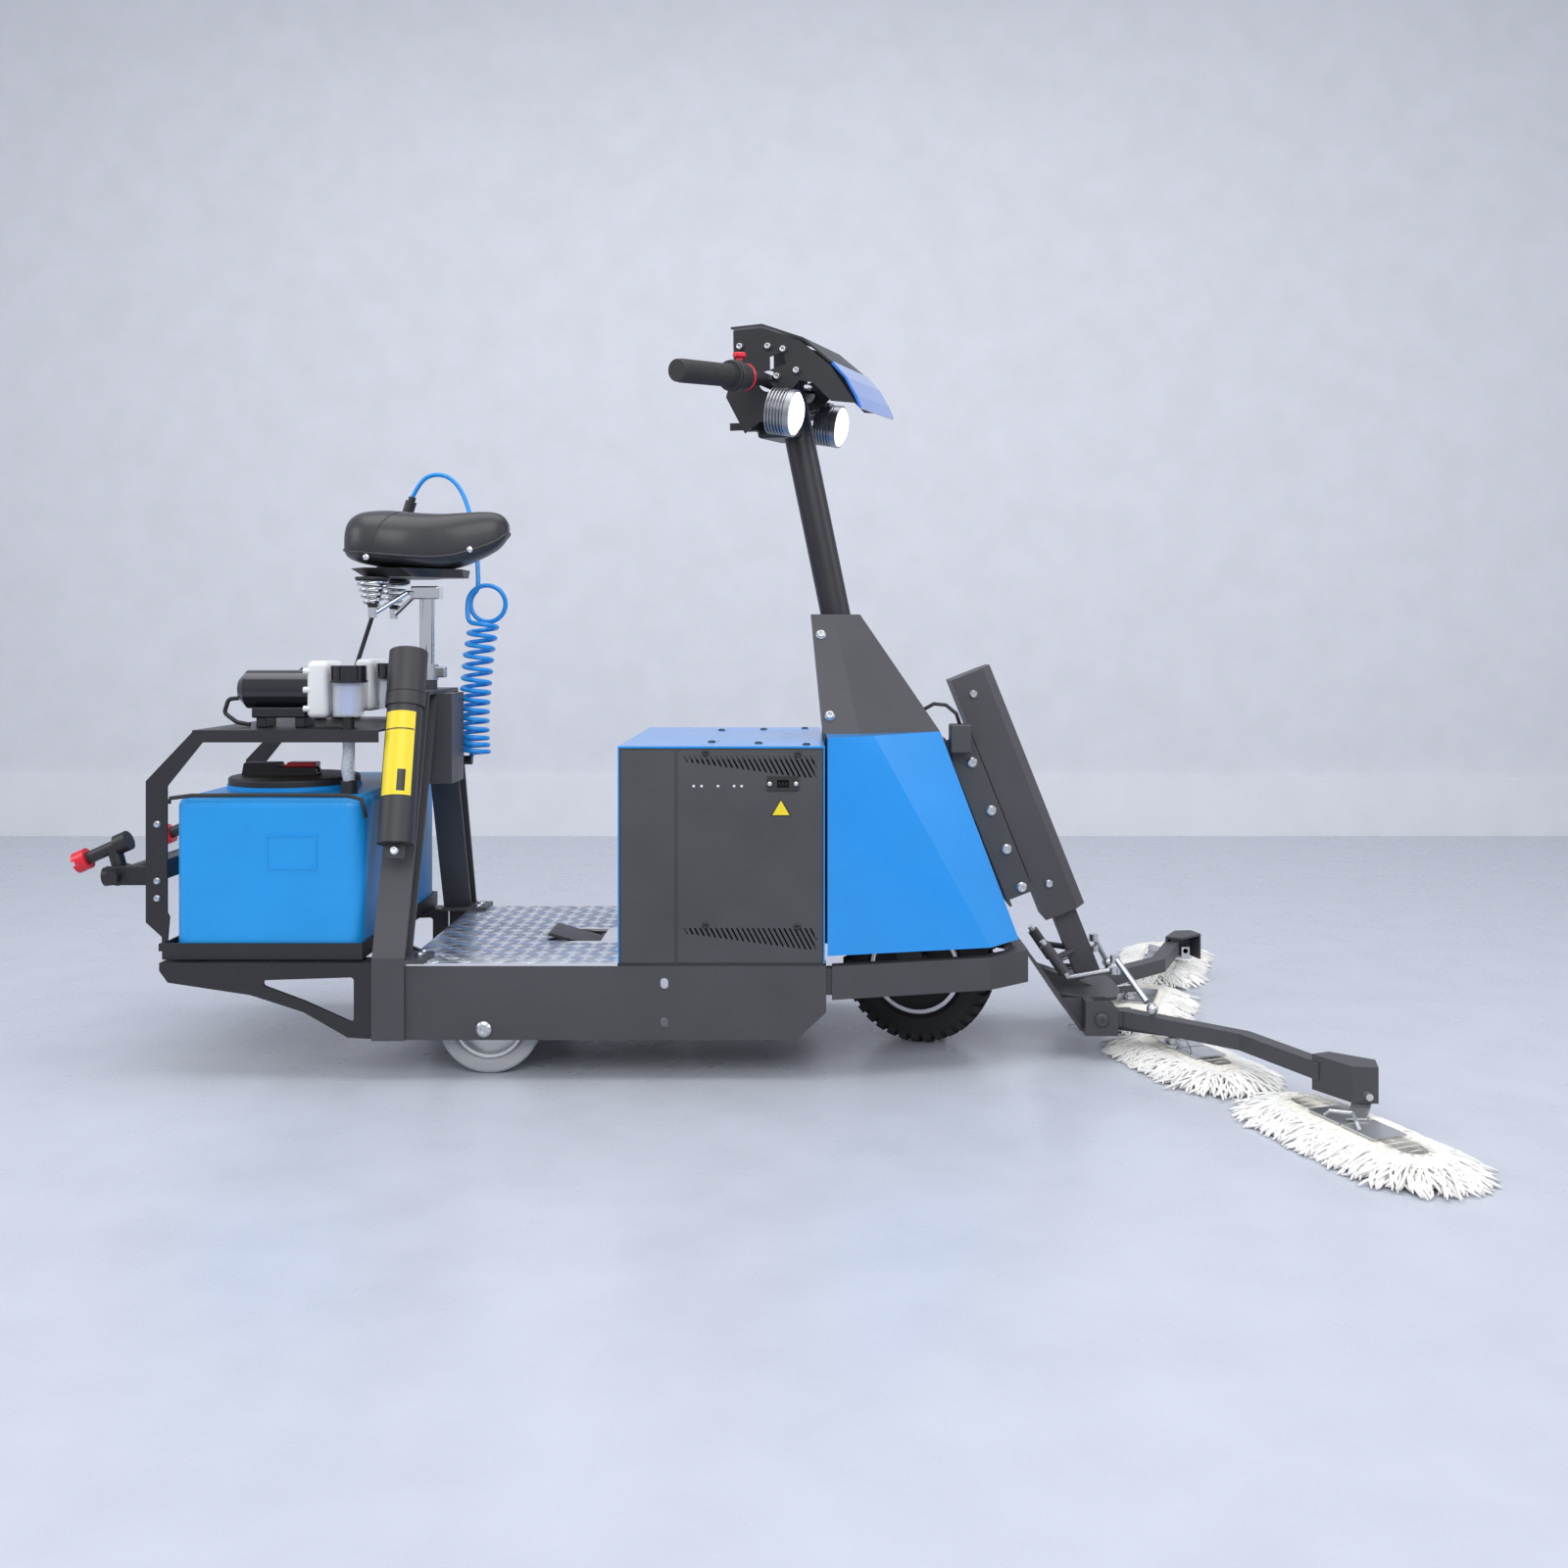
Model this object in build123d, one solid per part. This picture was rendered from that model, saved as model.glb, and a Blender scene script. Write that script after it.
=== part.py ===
# Ride-on dust-mop scooter: three wheels, a battery box under the rider's feet, a steered head with a
# hub-motor wheel, a V of four mops carried in front on a lift, and a spray kit behind the seat.
# Millimetres. +X is the way it drives, +Y its left, +Z up. All places are measured from the front face
# of the battery box, on the middle plane and the floor. ORIGIN_X then moves the finished pieces, so
# that the origin lies on the floor under the middle of the machine.
from build123d import *
from math import atan, cos, pi, radians, sin, tan
import os

os.makedirs("parts", exist_ok=True)

# Driving dimensions
ORIGIN_X = 140.95             # from the box's front face to the middle of the machine's length
SIDE = 240                    # half the width over the chassis side plates
SHEET = 3                     # folded steel sheet
PLATE = 4                     # laser-cut structural plate
DECK_Z = 180                  # top of the foot deck
CHASSIS_Z = 63                # underside of the chassis
CHASSIS_REAR = -597
CHASSIS_FRONT = 45
BOX_REAR = -273
BOX_FRONT = 43
BOX_TOP = 511
BOX_SEAM = -183.5             # middle of the gap between the narrow and the wide side panels
FRONT_WHEEL_X = 209
FRONT_TYRE_R = 127.5
FRONT_WHEEL_Z = 129.12        # a little over the radius, because the turned wheel leans
FRONT_TYRE_WIDTH = 80
REAR_WHEEL_X = -477
REAR_WHEEL_Y = 180
REAR_WHEEL_R = 80
REAR_TYRE_WIDTH = 46
FIT = 0.05                    # radial gap of a shaft that turns in its bore
STEER_TOP = (2.5, 1025)       # two points of the steering axis, as X and Z
STEER_LOW = (66, 716)
STEER_REST = -18              # the head stands turned to the right, in degrees
HEAD_Z = 1095                 # height of the handlebar's tube
HEAD_HALF = 105               # half the width over the head's side plates
HOOP_X = -622                 # middle of the seat hoop's section
HOOP_DEPTH = 50
SEAT_POST_X = -626
SEAT_POST_Z = 760
TANK_REAR = -958
TANK_FRONT = -669
TANK_LOW = 185
TANK_TOP = 431
TANK_HALF = 222
FRAME_HALF = 202              # half the width over the pump frame
SHELF_Z = 530
MOP_CORNER_X = 470            # where the two rear edges of the mops would meet
MOP_ANGLE = 70.4              # each row of mops turns this far from straight ahead
MOP_WIDTH = 176
MOP_HEIGHT = 30
ARM_Z = 66
ARM_SIDE = 25
ARM_PIVOT = (514, -118)
LIFT_TILT = 21.7              # the lift leans back from upright
HOSE_D = 8
COIL_D = 56


def save(name, *solids):
    """Writes one node, moved to the machine's origin; several solids stay separate in it."""
    moved = [Pos(ORIGIN_X, 0, 0) * s for s in solids]
    export_step(moved[0] if len(moved) == 1 else Compound(moved), f"parts/{name}.step")


def block(x0, x1, y0, y1, z0, z1, edge=0):
    b = Pos((x0 + x1) / 2, (y0 + y1) / 2, (z0 + z1) / 2) * Box(x1 - x0, y1 - y0, z1 - z0)
    return fillet(b.edges(), edge) if edge else b


def rod(start, end, r, inner=0):
    """A round bar, or a tube, between two points."""
    a, b = Vector(*start), Vector(*end)
    ends = Plane(origin=a, z_dir=b - a)
    section = Circle(r) - Circle(inner) if inner else Circle(r)
    return extrude(ends * section, (b - a).length)


def cone(start, end, r0, r1):
    a, b = Vector(*start), Vector(*end)
    height = (b - a).length
    return Plane(origin=a, z_dir=b - a) * Pos(0, 0, height / 2) * Cone(r0, r1, height)


def side_plate(points, y0, y1, corner=0):
    """A plate with an outline in X and Z, from y0 to y1."""
    face = make_face(Polyline(*[(x, y0, z) for x, z in points], close=True))
    plate = extrude(face, y1 - y0, dir=(0, 1, 0))
    return fillet(plate.edges().filter_by(Axis.Y), corner) if corner else plate


def flat_plate(points, z0, z1, corner=0):
    """A plate with an outline in X and Y, from z0 to z1."""
    face = make_face(Polyline(*[(x, y, z0) for x, y in points], close=True))
    plate = extrude(face, z1 - z0, dir=(0, 0, 1))
    return fillet(plate.edges().filter_by(Axis.Z), corner) if corner else plate


def cross_plate(points, x0, x1, corner=0):
    """A plate with an outline in Y and Z, from x0 to x1."""
    face = make_face(Polyline(*[(x0, y, z) for y, z in points], close=True))
    plate = extrude(face, x1 - x0, dir=(1, 0, 0))
    return fillet(plate.edges().filter_by(Axis.X), corner) if corner else plate


def other_side(shape):
    return mirror(shape, about=Plane.XZ)


def both(shape):
    return [shape, other_side(shape)]


def joined(*shapes):
    total = shapes[0]
    for s in shapes[1:]:
        total = total + s
    return total


def bolt(at, out, head_r=6, head=5, shank=0):
    """A button-head bolt that stands on a face at a point, with its axis pointing out of the face."""
    p, d = Vector(*at), Vector(*out).normalized()
    top = rod(tuple(p), tuple(p + d * head * 0.5), head_r)
    top = top + cone(tuple(p + d * head * 0.5), tuple(p + d * head), head_r, head_r * 0.72)
    socket = Plane(origin=p + d * head * 0.5, z_dir=d) * extrude(RegularPolygon(head_r * 0.42, 6), head)
    top = top - socket
    return top + rod(tuple(p - d * shank), tuple(p), head_r * 0.5) if shank else top


def slot_y(x, z, length, width, turn=0):
    """A cutter along Y for an oblong hole centred at X and Z; turn leans it from level."""
    shape = Plane.XZ * Rot(0, 0, turn) * SlotOverall(length, width)
    return Pos(x, 0, z) * extrude(shape, 40, both=True)


def path_tube(points, r, radii, inner=0):
    path = FilletPolyline(*points, radius=radii)
    start = Plane(origin=path @ 0, z_dir=path % 0)
    section = Circle(r) - Circle(inner) if inner else Circle(r)
    return sweep(start * section, path=path), path.length


def arc_radii(points):
    """The largest arc for each corner: 0.45 of the shorter run over the tangent of half the turn."""
    radii = []
    for a, b, c in zip(points, points[1:], points[2:]):
        one, two = Vector(*b) - Vector(*a), Vector(*c) - Vector(*b)
        turn = radians(one.get_angle(two))
        radii.append(0.45 * min(one.length, two.length) / tan(turn / 2))
    return radii


# Steered group: pieces are drawn straight ahead and turned about the leaning axis when saved
LEAN = atan((STEER_LOW[0] - STEER_TOP[0]) / (STEER_TOP[1] - STEER_LOW[1]))
STEER_AXIS = Axis((STEER_LOW[0], 0, STEER_LOW[1]), (-sin(LEAN), 0, cos(LEAN)))


def axis_x(z):
    """X of the steering axis at a height."""
    return STEER_LOW[0] - (z - STEER_LOW[1]) * tan(LEAN)


def save_steered(name, *solids):
    save(name, *[s.rotate(STEER_AXIS, STEER_REST) for s in solids])


# ---------------------------------------------------------------- chassis
def chassis_frame():
    outline = [(CHASSIS_REAR, CHASSIS_Z), (0, CHASSIS_Z), (CHASSIS_FRONT, 105),
               (CHASSIS_FRONT, DECK_Z - PLATE), (CHASSIS_REAR, DECK_Z - PLATE)]
    web = side_plate(outline, -SIDE, -SIDE + PLATE)
    for z in (89, 149):
        web = web - Pos(0, -SIDE, 0) * slot_y(-202, z, 17, 12, 90)
    web = web - rod((REAR_WHEEL_X, -SIDE - 1, REAR_WHEEL_R), (REAR_WHEEL_X, -SIDE + PLATE + 1, REAR_WHEEL_R), 10)
    low = block(CHASSIS_REAR, 0, -SIDE, -SIDE + 20, CHASSIS_Z, CHASSIS_Z + PLATE)
    high = block(CHASSIS_REAR, CHASSIS_FRONT, -SIDE, -SIDE + 40, DECK_Z - 2 * PLATE, DECK_Z - PLATE)
    side = joined(web, low, high)
    frame = side + other_side(side)
    for x in (CHASSIS_REAR, -300, -24):
        frame = frame + block(x, x + PLATE, -SIDE + PLATE, SIDE - PLATE, CHASSIS_Z, DECK_Z - PLATE)
    return frame


PEDAL_X = (-408, -328)
PEDAL_Y = (-72, 14)
footplate = block(-600, BOX_REAR, -SIDE, SIDE, DECK_Z - PLATE, DECK_Z)
footplate = footplate - block(PEDAL_X[0] - 7, PEDAL_X[1] + 7, PEDAL_Y[0] - 6, PEDAL_Y[1] + 6, 170, 190)
save("footplate", footplate)

# The pedal is a folded plate that hinges on a pin at its front edge
PEDAL_PIN_Z = 168
pedal = side_plate([(PEDAL_X[1] - 4, 165), (PEDAL_X[1] - 4, 171), (PEDAL_X[0] + 6, 191), (PEDAL_X[0], 191),
                    (PEDAL_X[0], 187), (PEDAL_X[0] + 5, 187)], PEDAL_Y[0], PEDAL_Y[1])
pedal = pedal + rod((PEDAL_X[1], PEDAL_Y[0], PEDAL_PIN_Z), (PEDAL_X[1], PEDAL_Y[1], PEDAL_PIN_Z), 6)
pin_span = ((PEDAL_X[1], PEDAL_Y[0] - 14, PEDAL_PIN_Z), (PEDAL_X[1], PEDAL_Y[1] + 14, PEDAL_PIN_Z))
pedal = pedal - rod(*pin_span, 3 + FIT)
save("foot_pedal", pedal)
pedal_pin = rod(*pin_span, 3)
for y in (PEDAL_Y[0] - 12, PEDAL_Y[1] + 8):
    pedal_pin = pedal_pin + block(PEDAL_X[1] - 10, PEDAL_X[1] + 6, y, y + 4, PEDAL_PIN_Z - 8, DECK_Z - PLATE)

# ---------------------------------------------------------------- battery box
# A blue sheet folded over the top, back and front, with grey panels let into both sides
MARGIN = 2.5
box_shell = block(BOX_REAR, BOX_FRONT, -SIDE, SIDE, BOX_TOP - SHEET, BOX_TOP)
box_shell = box_shell + block(BOX_REAR, BOX_REAR + 2, -SIDE, SIDE, DECK_Z, BOX_TOP - SHEET)
box_shell = box_shell + block(BOX_FRONT - 2, BOX_FRONT, -SIDE, SIDE, DECK_Z, BOX_TOP - SHEET)
for x, y in ((-127, 125), (-127, -125), (-15, 52), (-15, -52)):
    box_shell = box_shell - Pos(x, y, BOX_TOP) * extrude(SlotOverall(17, 7), 12, both=True)
for y in (140, -140):
    box_shell = box_shell - block(-34, 12, y - 1.2, y + 1.2, BOX_TOP - 1.5, BOX_TOP + 1)
save("box_shell", box_shell)

PANEL_Z = (DECK_Z + 1, BOX_TOP - SHEET - MARGIN)
narrow = block(BOX_REAR + 2 + MARGIN, BOX_SEAM - 2.5, -SIDE, -SIDE + 2, *PANEL_Z)
narrow = fillet(narrow.edges().filter_by(Axis.Y), 4)
backing = block(BOX_REAR + 2, BOX_FRONT - 2, -SIDE + 2, -SIDE + 3.2, DECK_Z, BOX_TOP - SHEET)
backing = backing - block(BOX_SEAM + 16, BOX_FRONT - 16, -SIDE - 1, -SIDE + 5, DECK_Z + 8, BOX_TOP - 20)

wide = block(BOX_SEAM + 2.5, BOX_FRONT - 2 - MARGIN, -SIDE, -SIDE + 2, *PANEL_Z)
wide = fillet(wide.edges().filter_by(Axis.Y), 4)
VENT_PITCH = 8
VENT_LEAN = 28
VENT_LEFT = -171
VENT_RIGHT = 30
VENT_COUNT = 26
for top_z in (495, 233):
    for i in range(VENT_COUNT):
        depth = 7 + 24 * min(i / (VENT_COUNT - 5), 1)
        first = VENT_LEFT + i * VENT_PITCH
        last = min(first + depth * tan(radians(VENT_LEAN)), VENT_RIGHT)
        depth = max((last - first) / tan(radians(VENT_LEAN)), 6)
        if first > VENT_RIGHT - 2:
            continue
        middle = ((first + last) / 2, top_z - depth / 2)
        length = depth / cos(radians(VENT_LEAN)) + 2.5
        wide = wide - Pos(0, -SIDE, 0) * slot_y(*middle, length, 2.6, VENT_LEAN - 90)
PANEL_SCREWS = [(-139, 501), (1.5, 499), (-139, 238), (0.5, 236)]
for x, z in PANEL_SCREWS:
    wide = wide - rod((x, -SIDE - 1, z), (x, -SIDE + 3, z), 3.2)
INLET = (-21, 454)
LEDS = [(-157, 450), (-145, 450), (-120, 450), (-95.5, 450), (-84, 450)]
plain = wide
wide = wide - block(INLET[0] - 12.5, INLET[0] + 12.5, -SIDE - 1, -SIDE + 4, INLET[1] - 9.5, INLET[1] + 9.5)
for x, z in LEDS:
    wide = wide - rod((x, -SIDE - 1, z), (x, -SIDE + 3, z), 2.5)
save("side_panels", *both(narrow), wide, other_side(plain))

inlet = block(INLET[0] - 12.3, INLET[0] + 12.3, -SIDE - 1.5, -SIDE + 22, INLET[1] - 9.3, INLET[1] + 9.3, 1.2)
inlet = inlet + block(INLET[0] - 24, INLET[0] + 24, -SIDE - 2.5, -SIDE, INLET[1] - 11, INLET[1] + 11)
inlet = inlet - block(INLET[0] - 9, INLET[0] + 9, -SIDE - 4, -SIDE + 14, INLET[1] - 6, INLET[1] + 6)
for dx in (-5.5, 0, 5.5):
    inlet = inlet + block(INLET[0] + dx - 1, INLET[0] + dx + 1, -SIDE + 3, -SIDE + 16, INLET[1] - 2, INLET[1] + 2)
for dx in (-20, 20):
    inlet = inlet + bolt((INLET[0] + dx, -SIDE - 2.5, INLET[1]), (0, -1, 0), 3.2, 2)
save("charging_inlet", inlet)
batteries = [block(x, x + 112, y, y + 190, DECK_Z + 1, 400, 4) for x in (-262, -144) for y in (-200, 10)]
charger = block(-16, 36, -190, 190, DECK_Z + 6, 380, 3)
controller = block(-250, -60, -90, 90, 401, 470, 3)
save("box_contents", *batteries, charger, controller)
box_floor = block(BOX_REAR + 2, BOX_FRONT - 2, -SIDE + 4, SIDE - 4, DECK_Z - PLATE, DECK_Z)
save("chassis_frame", chassis_frame(), box_floor, pedal_pin, *both(backing))

# ---------------------------------------------------------------- hood, column cover and bumper
HOOD_LOW = 191
HOOD_TOP = 524


def taper(low, high, z0, z1):
    """A solid between a lower and an upper outline that have the same number of corners."""
    a = make_face(Polyline(*[(x, y, z0) for x, y in low], close=True))
    b = make_face(Polyline(*[(x, y, z1) for x, y in high], close=True))
    return loft([a, b], ruled=True)


def outline(half):
    """A full outline from its right half, given from the back to the middle."""
    right = [(x, -y) for x, y in half]
    left = [(x, y) for x, y in reversed(half)]
    return right + left


def hood_shape(inset, z0, z1):
    share0 = (z0 - HOOD_LOW) / (HOOD_TOP - HOOD_LOW)
    share1 = (z1 - HOOD_LOW) / (HOOD_TOP - HOOD_LOW)
    low = [(47, 240), (304, 180), (358, 117)]
    high = [(47, 240), (120, 200), (234, 90)]

    def at(share):
        half = []
        for i, ((x0, y0), (x1, y1)) in enumerate(zip(low, high)):
            x, y = x0 + (x1 - x0) * share, y0 + (y1 - y0) * share
            half.append((x - (inset * 1.2 if i else 0), y - inset * 1.1))
        return outline(half)

    return taper(at(share0), at(share1), z0, z1)


hood = hood_shape(0, HOOD_LOW, HOOD_TOP)
hood = hood - hood_shape(SHEET, HOOD_LOW - 1, HOOD_TOP - SHEET)
STEM_HOLE_R = 36
stem_low = (axis_x(500), 0, 500)
stem_high = (axis_x(560), 0, 560)
hood = hood - rod(stem_low, stem_high, STEM_HOLE_R)
save("hood", hood)

COVER_LOW = 524
COVER_TOP = 716


def cover_shape(inset, z0, z1):
    low = [(44 + inset, 150 - inset), (100, 150 - inset), (234 - inset, 88 - inset)]
    high = [(24 + inset, 44 - inset), (60, 44 - inset), (106 - inset, 30 - inset)]
    return taper(outline(low), outline(high), z0, z1)


cover = cover_shape(0, COVER_LOW, COVER_TOP) - cover_shape(SHEET, COVER_LOW - 0.01, COVER_TOP - SHEET)
cover = cover - rod((axis_x(690), 0, 690), (axis_x(740), 0, 740), 28)
save("column_cover", cover)

BUMPER_Z = (124, 175)
outer = outline([(54, 240), (304, 178), (372, 123)])
inner = outline([(40, 236), (302, 174), (368, 121)])
bumper = flat_plate(outer, *BUMPER_Z) - flat_plate(inner, BUMPER_Z[0] - 1, BUMPER_Z[1] + 1)
bumper = bumper - block(0, 53.9, -300, 300, 100, 200)
rim_inner = outline([(40, 222), (294, 160), (352, 108)])
rim = flat_plate(outer, BUMPER_Z[1] - 4, BUMPER_Z[1]) - flat_plate(rim_inner, 160, 180)
rim = rim - block(0, 53.9, -300, 300, 100, 200)
bumper = bumper + rim
bumper_tie = block(45, 58, -SIDE + 6, -SIDE + 24, 130, 171)
bumper = joined(bumper, bumper_tie, other_side(bumper_tie))
save("bumper", bumper)

# Four posts hold the hood and the bumper to the deck and carry the head tube
HEAD_TUBE_Z = (430, 700)
tube_low = (axis_x(HEAD_TUBE_Z[0]), 0, HEAD_TUBE_Z[0])
tube_high = (axis_x(HEAD_TUBE_Z[1]), 0, HEAD_TUBE_Z[1])
head_tube = rod(tube_low, tube_high, 34, 27)
yoke = block(45, 51, -150, 150, DECK_Z + 11, 520)
yoke = yoke + block(51, 110, -40, -34, 440, 520) + block(51, 110, 34, 40, 440, 520)
yoke = yoke - rod(tube_low, tube_high, 33)
bearings = []
for z in (HEAD_TUBE_Z[0] + 8, HEAD_TUBE_Z[1] - 8):
    up = (axis_x(z + 8), 0, z + 8)
    bearings.append(rod((axis_x(z - 8), 0, z - 8), up, 27, 25 + FIT))
save("head_tube", head_tube + yoke, *bearings)

# ---------------------------------------------------------------- steered group
COLUMN_R = 25
column = rod((axis_x(395), 0, 395), (axis_x(1075), 0, 1075), COLUMN_R, COLUMN_R - 3)
save_steered("steering_column", column)

FORK_HALF = 52
crown = rod((axis_x(360), 0, 360), (axis_x(395), 0, 395), 32)
crown = crown + block(axis_x(365) - 30, axis_x(365) + 34, -FORK_HALF - 8, FORK_HALF + 8, 345, 365, 4)
LEG = [(axis_x(350) - 24, 352), (axis_x(350) + 26, 352), (FRONT_WHEEL_X + 22, FRONT_WHEEL_Z + 14),
       (FRONT_WHEEL_X + 16, FRONT_WHEEL_Z - 22), (FRONT_WHEEL_X - 16, FRONT_WHEEL_Z - 22),
       (FRONT_WHEEL_X - 22, FRONT_WHEEL_Z + 14)]
leg = side_plate(LEG, -FORK_HALF - 8, -FORK_HALF, 6)
axle_hole = rod((FRONT_WHEEL_X, -90, FRONT_WHEEL_Z), (FRONT_WHEEL_X, 90, FRONT_WHEEL_Z), 8)
fork = joined(crown, leg, other_side(leg)) - axle_hole
axle = rod((FRONT_WHEEL_X, -72, FRONT_WHEEL_Z), (FRONT_WHEEL_X, 72, FRONT_WHEEL_Z), 8)
for y in (-FORK_HALF - 8, FORK_HALF + 8):
    step = 9 if y > 0 else -9
    nut = Plane(origin=(FRONT_WHEEL_X, y, FRONT_WHEEL_Z), z_dir=(0, step, 0)) * extrude(RegularPolygon(14, 6), 9)
    axle = axle + nut
save_steered("fork", fork, axle)


def wheel_section(half, r0, r1, corner):
    """The half section of a ring: Y across, Z out from the axle."""
    ring = Rectangle(2 * half, r1 - r0)
    return fillet(ring.vertices(), corner)


def ring(x, y, z, half, r0, r1, corner):
    section = Plane.YZ * Pos(0, (r0 + r1) / 2) * wheel_section(half, r0, r1, corner)
    return Pos(x, y, z) * revolve(section, Axis.Y)


front_tyre = ring(FRONT_WHEEL_X, 0, FRONT_WHEEL_Z, FRONT_TYRE_WIDTH / 2, 78, FRONT_TYRE_R, 14)
save_steered("front_tyre", front_tyre)
hub = ring(FRONT_WHEEL_X, 0, FRONT_WHEEL_Z, 38, 68, 78, 3)
hub = hub + ring(FRONT_WHEEL_X, 0, FRONT_WHEEL_Z, 30, 30, 69, 6)
hub = hub + ring(FRONT_WHEEL_X, 0, FRONT_WHEEL_Z, 46, 8 + FIT, 31, 2)
save_steered("front_hub_motor", hub)

# Handlebar: a straight middle with grips swept back
BAR_X = axis_x(HEAD_Z)
GRIP_ROOT = (BAR_X - 27, -208, HEAD_Z + 5)
GRIP_END = (BAR_X - 66, -337, HEAD_Z - 2)
BEND = (BAR_X - 4, -132, HEAD_Z + 6)
bar_direction = (Vector(*GRIP_END) - Vector(*BEND)).normalized()
span = (Vector(*GRIP_END) - Vector(*BEND)).length


def on_bar(distance):
    """A point on the swept part of the bar, at a distance from its bend."""
    return tuple(Vector(*BEND) + bar_direction * distance)


half_bar = [(BAR_X, 0, HEAD_Z), BEND, on_bar(span - 5)]
right_bar, _ = path_tube(half_bar, 11, [60])
bar = right_bar + other_side(right_bar)
clamp = block(BAR_X - 20, BAR_X + 20, -22, 22, HEAD_Z - 12, HEAD_Z + 20, 5)
neck = rod((axis_x(1075), 0, 1075), (BAR_X, 0, HEAD_Z), 23)


GRIP_START = 82
grip = rod(on_bar(GRIP_START), on_bar(span + 2), 17)
grip = grip + rod(on_bar(GRIP_START), on_bar(GRIP_START + 5), 24)
grip = fillet(grip.edges().filter_by(GeomType.CIRCLE), 1.8)
grip = grip - rod(on_bar(GRIP_START - 2), on_bar(span - 4), 11 + FIT)
save_steered("throttle_grip", grip)
housing = rod(on_bar(GRIP_START - 34), on_bar(GRIP_START - 1), 21)
housing = housing + rod(on_bar(GRIP_START - 14), on_bar(GRIP_START - 1), 25)
housing = chamfer(housing.edges().filter_by(GeomType.CIRCLE), 1.2)
housing = housing - rod(on_bar(GRIP_START - 40), on_bar(GRIP_START + 2), 11)
STOP_AT = on_bar(GRIP_START - 22)
stop_well = rod((STOP_AT[0], STOP_AT[1], STOP_AT[2] + 14), (STOP_AT[0], STOP_AT[1], STOP_AT[2] + 24), 7.3)
stop_bore = rod((STOP_AT[0], STOP_AT[1], STOP_AT[2] + 15), (STOP_AT[0], STOP_AT[1], STOP_AT[2] + 30), 5.1)
stop = rod((STOP_AT[0], STOP_AT[1], STOP_AT[2] + 19), (STOP_AT[0], STOP_AT[1], STOP_AT[2] + 29), 5)
cap = rod((STOP_AT[0], STOP_AT[1], STOP_AT[2] + 29), (STOP_AT[0], STOP_AT[1], STOP_AT[2] + 37), 10.5)
save_steered("stop_button", stop + fillet(cap.edges().filter_by(GeomType.CIRCLE), 2.5))

# The head: two cut plates with a dark cover sheet over them and a blue nose
PLATE_LINE = [(-74, 1184), (-25, 1186), (42, 1161), (91, 1120), (132, 1059), (91, 1064), (62, 1094),
              (38, 1100), (-14, 1046), (-56, 1017), (-88, 1077), (-74, 1122)]
WINDOW = [(-12, 1118), (16, 1126), (12, 1146), (-12, 1139)]
head_plate = side_plate(PLATE_LINE, -HEAD_HALF, -HEAD_HALF + SHEET)
head_plate = head_plate - side_plate(WINDOW, -HEAD_HALF - 1, -HEAD_HALF + SHEET + 1)
head_plate = head_plate - rod((BAR_X - 3, -120, HEAD_Z + 5), (BAR_X - 3, -80, HEAD_Z + 5), 17)
LAMP_X = 22
LAMP_Y = 132
LAMP_Z = 1046
LAMP_R = 37
head_plate = head_plate - rod((LAMP_X - 40, -LAMP_Y, LAMP_Z + 4), (LAMP_X + 20, -LAMP_Y, LAMP_Z), LAMP_R + 1.5)
brace = block(-52, -46, -HEAD_HALF + SHEET, HEAD_HALF - SHEET, 1042, 1075)
bridge = block(-30, -2, -HEAD_HALF + SHEET, HEAD_HALF - SHEET, 1063, 1067)
bridge = bridge - rod((axis_x(1050), 0, 1050), (axis_x(1080), 0, 1080), COLUMN_R + 0.4)

COVER_LINE = [(-78, 1187), (-25, 1189.5), (44, 1164), (90, 1125)]
COVER_BACK = [(-78, 1190), (-24, 1192.5), (46, 1167), (92, 1127.5)]
top_sheet = side_plate(COVER_LINE + COVER_BACK[::-1], -HEAD_HALF - 1, HEAD_HALF + 1)
plates = joined(head_plate, other_side(head_plate), brace, bridge)
save_steered("head_plates", plates, top_sheet)
NOSE_OUT = [(96, 1126), (118, 1101), (135, 1071), (143, 1051)]
NOSE_IN = [(93, 1123), (115, 1099), (131, 1070), (139, 1050)]
nose = side_plate(NOSE_IN + NOSE_OUT[::-1], -HEAD_HALF - 3, HEAD_HALF + 3)
save_steered("head_nose", nose)

pod = block(-50, 16, -62, 62, 1012, 1040, 6)
pod = pod - rod((axis_x(1000), 0, 1000), (axis_x(1060), 0, 1060), COLUMN_R + 0.4)
KEY_FROM = (-62, -85, 1030)
key_barrel = rod((-46, KEY_FROM[1], KEY_FROM[2]), (-60, KEY_FROM[1], KEY_FROM[2]), 9)
pod_arm = block(-50, -40, -96, -50, 1022, 1038)
pod = joined(pod, pod_arm, key_barrel) - rod((-55, KEY_FROM[1], KEY_FROM[2]), (-70, KEY_FROM[1], KEY_FROM[2]), 3.1)
right_housing = (housing + stop_well) - stop_bore
save_steered("handlebar", joined(bar, clamp, neck), pod, right_housing, other_side(housing), other_side(grip))
key = rod((-56, KEY_FROM[1], KEY_FROM[2]), (-68, KEY_FROM[1], KEY_FROM[2]), 3)
key_head = block(-88, -66, KEY_FROM[1] - 3, KEY_FROM[1] + 3, KEY_FROM[2] - 6, KEY_FROM[2] + 6)
save_steered("ignition_key", key + key_head)

LAMP_DIP = 0.16                # the beam falls this much for each millimetre forward


def lamp_rod(y, start, end, r0, r1=None):
    """A piece of a lamp between two distances along its dipped axis."""
    a = (LAMP_X + start, y, LAMP_Z - start * LAMP_DIP)
    b = (LAMP_X + end, y, LAMP_Z - end * LAMP_DIP)
    return cone(a, b, r0, r1) if r1 else rod(a, b, r0)


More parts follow.
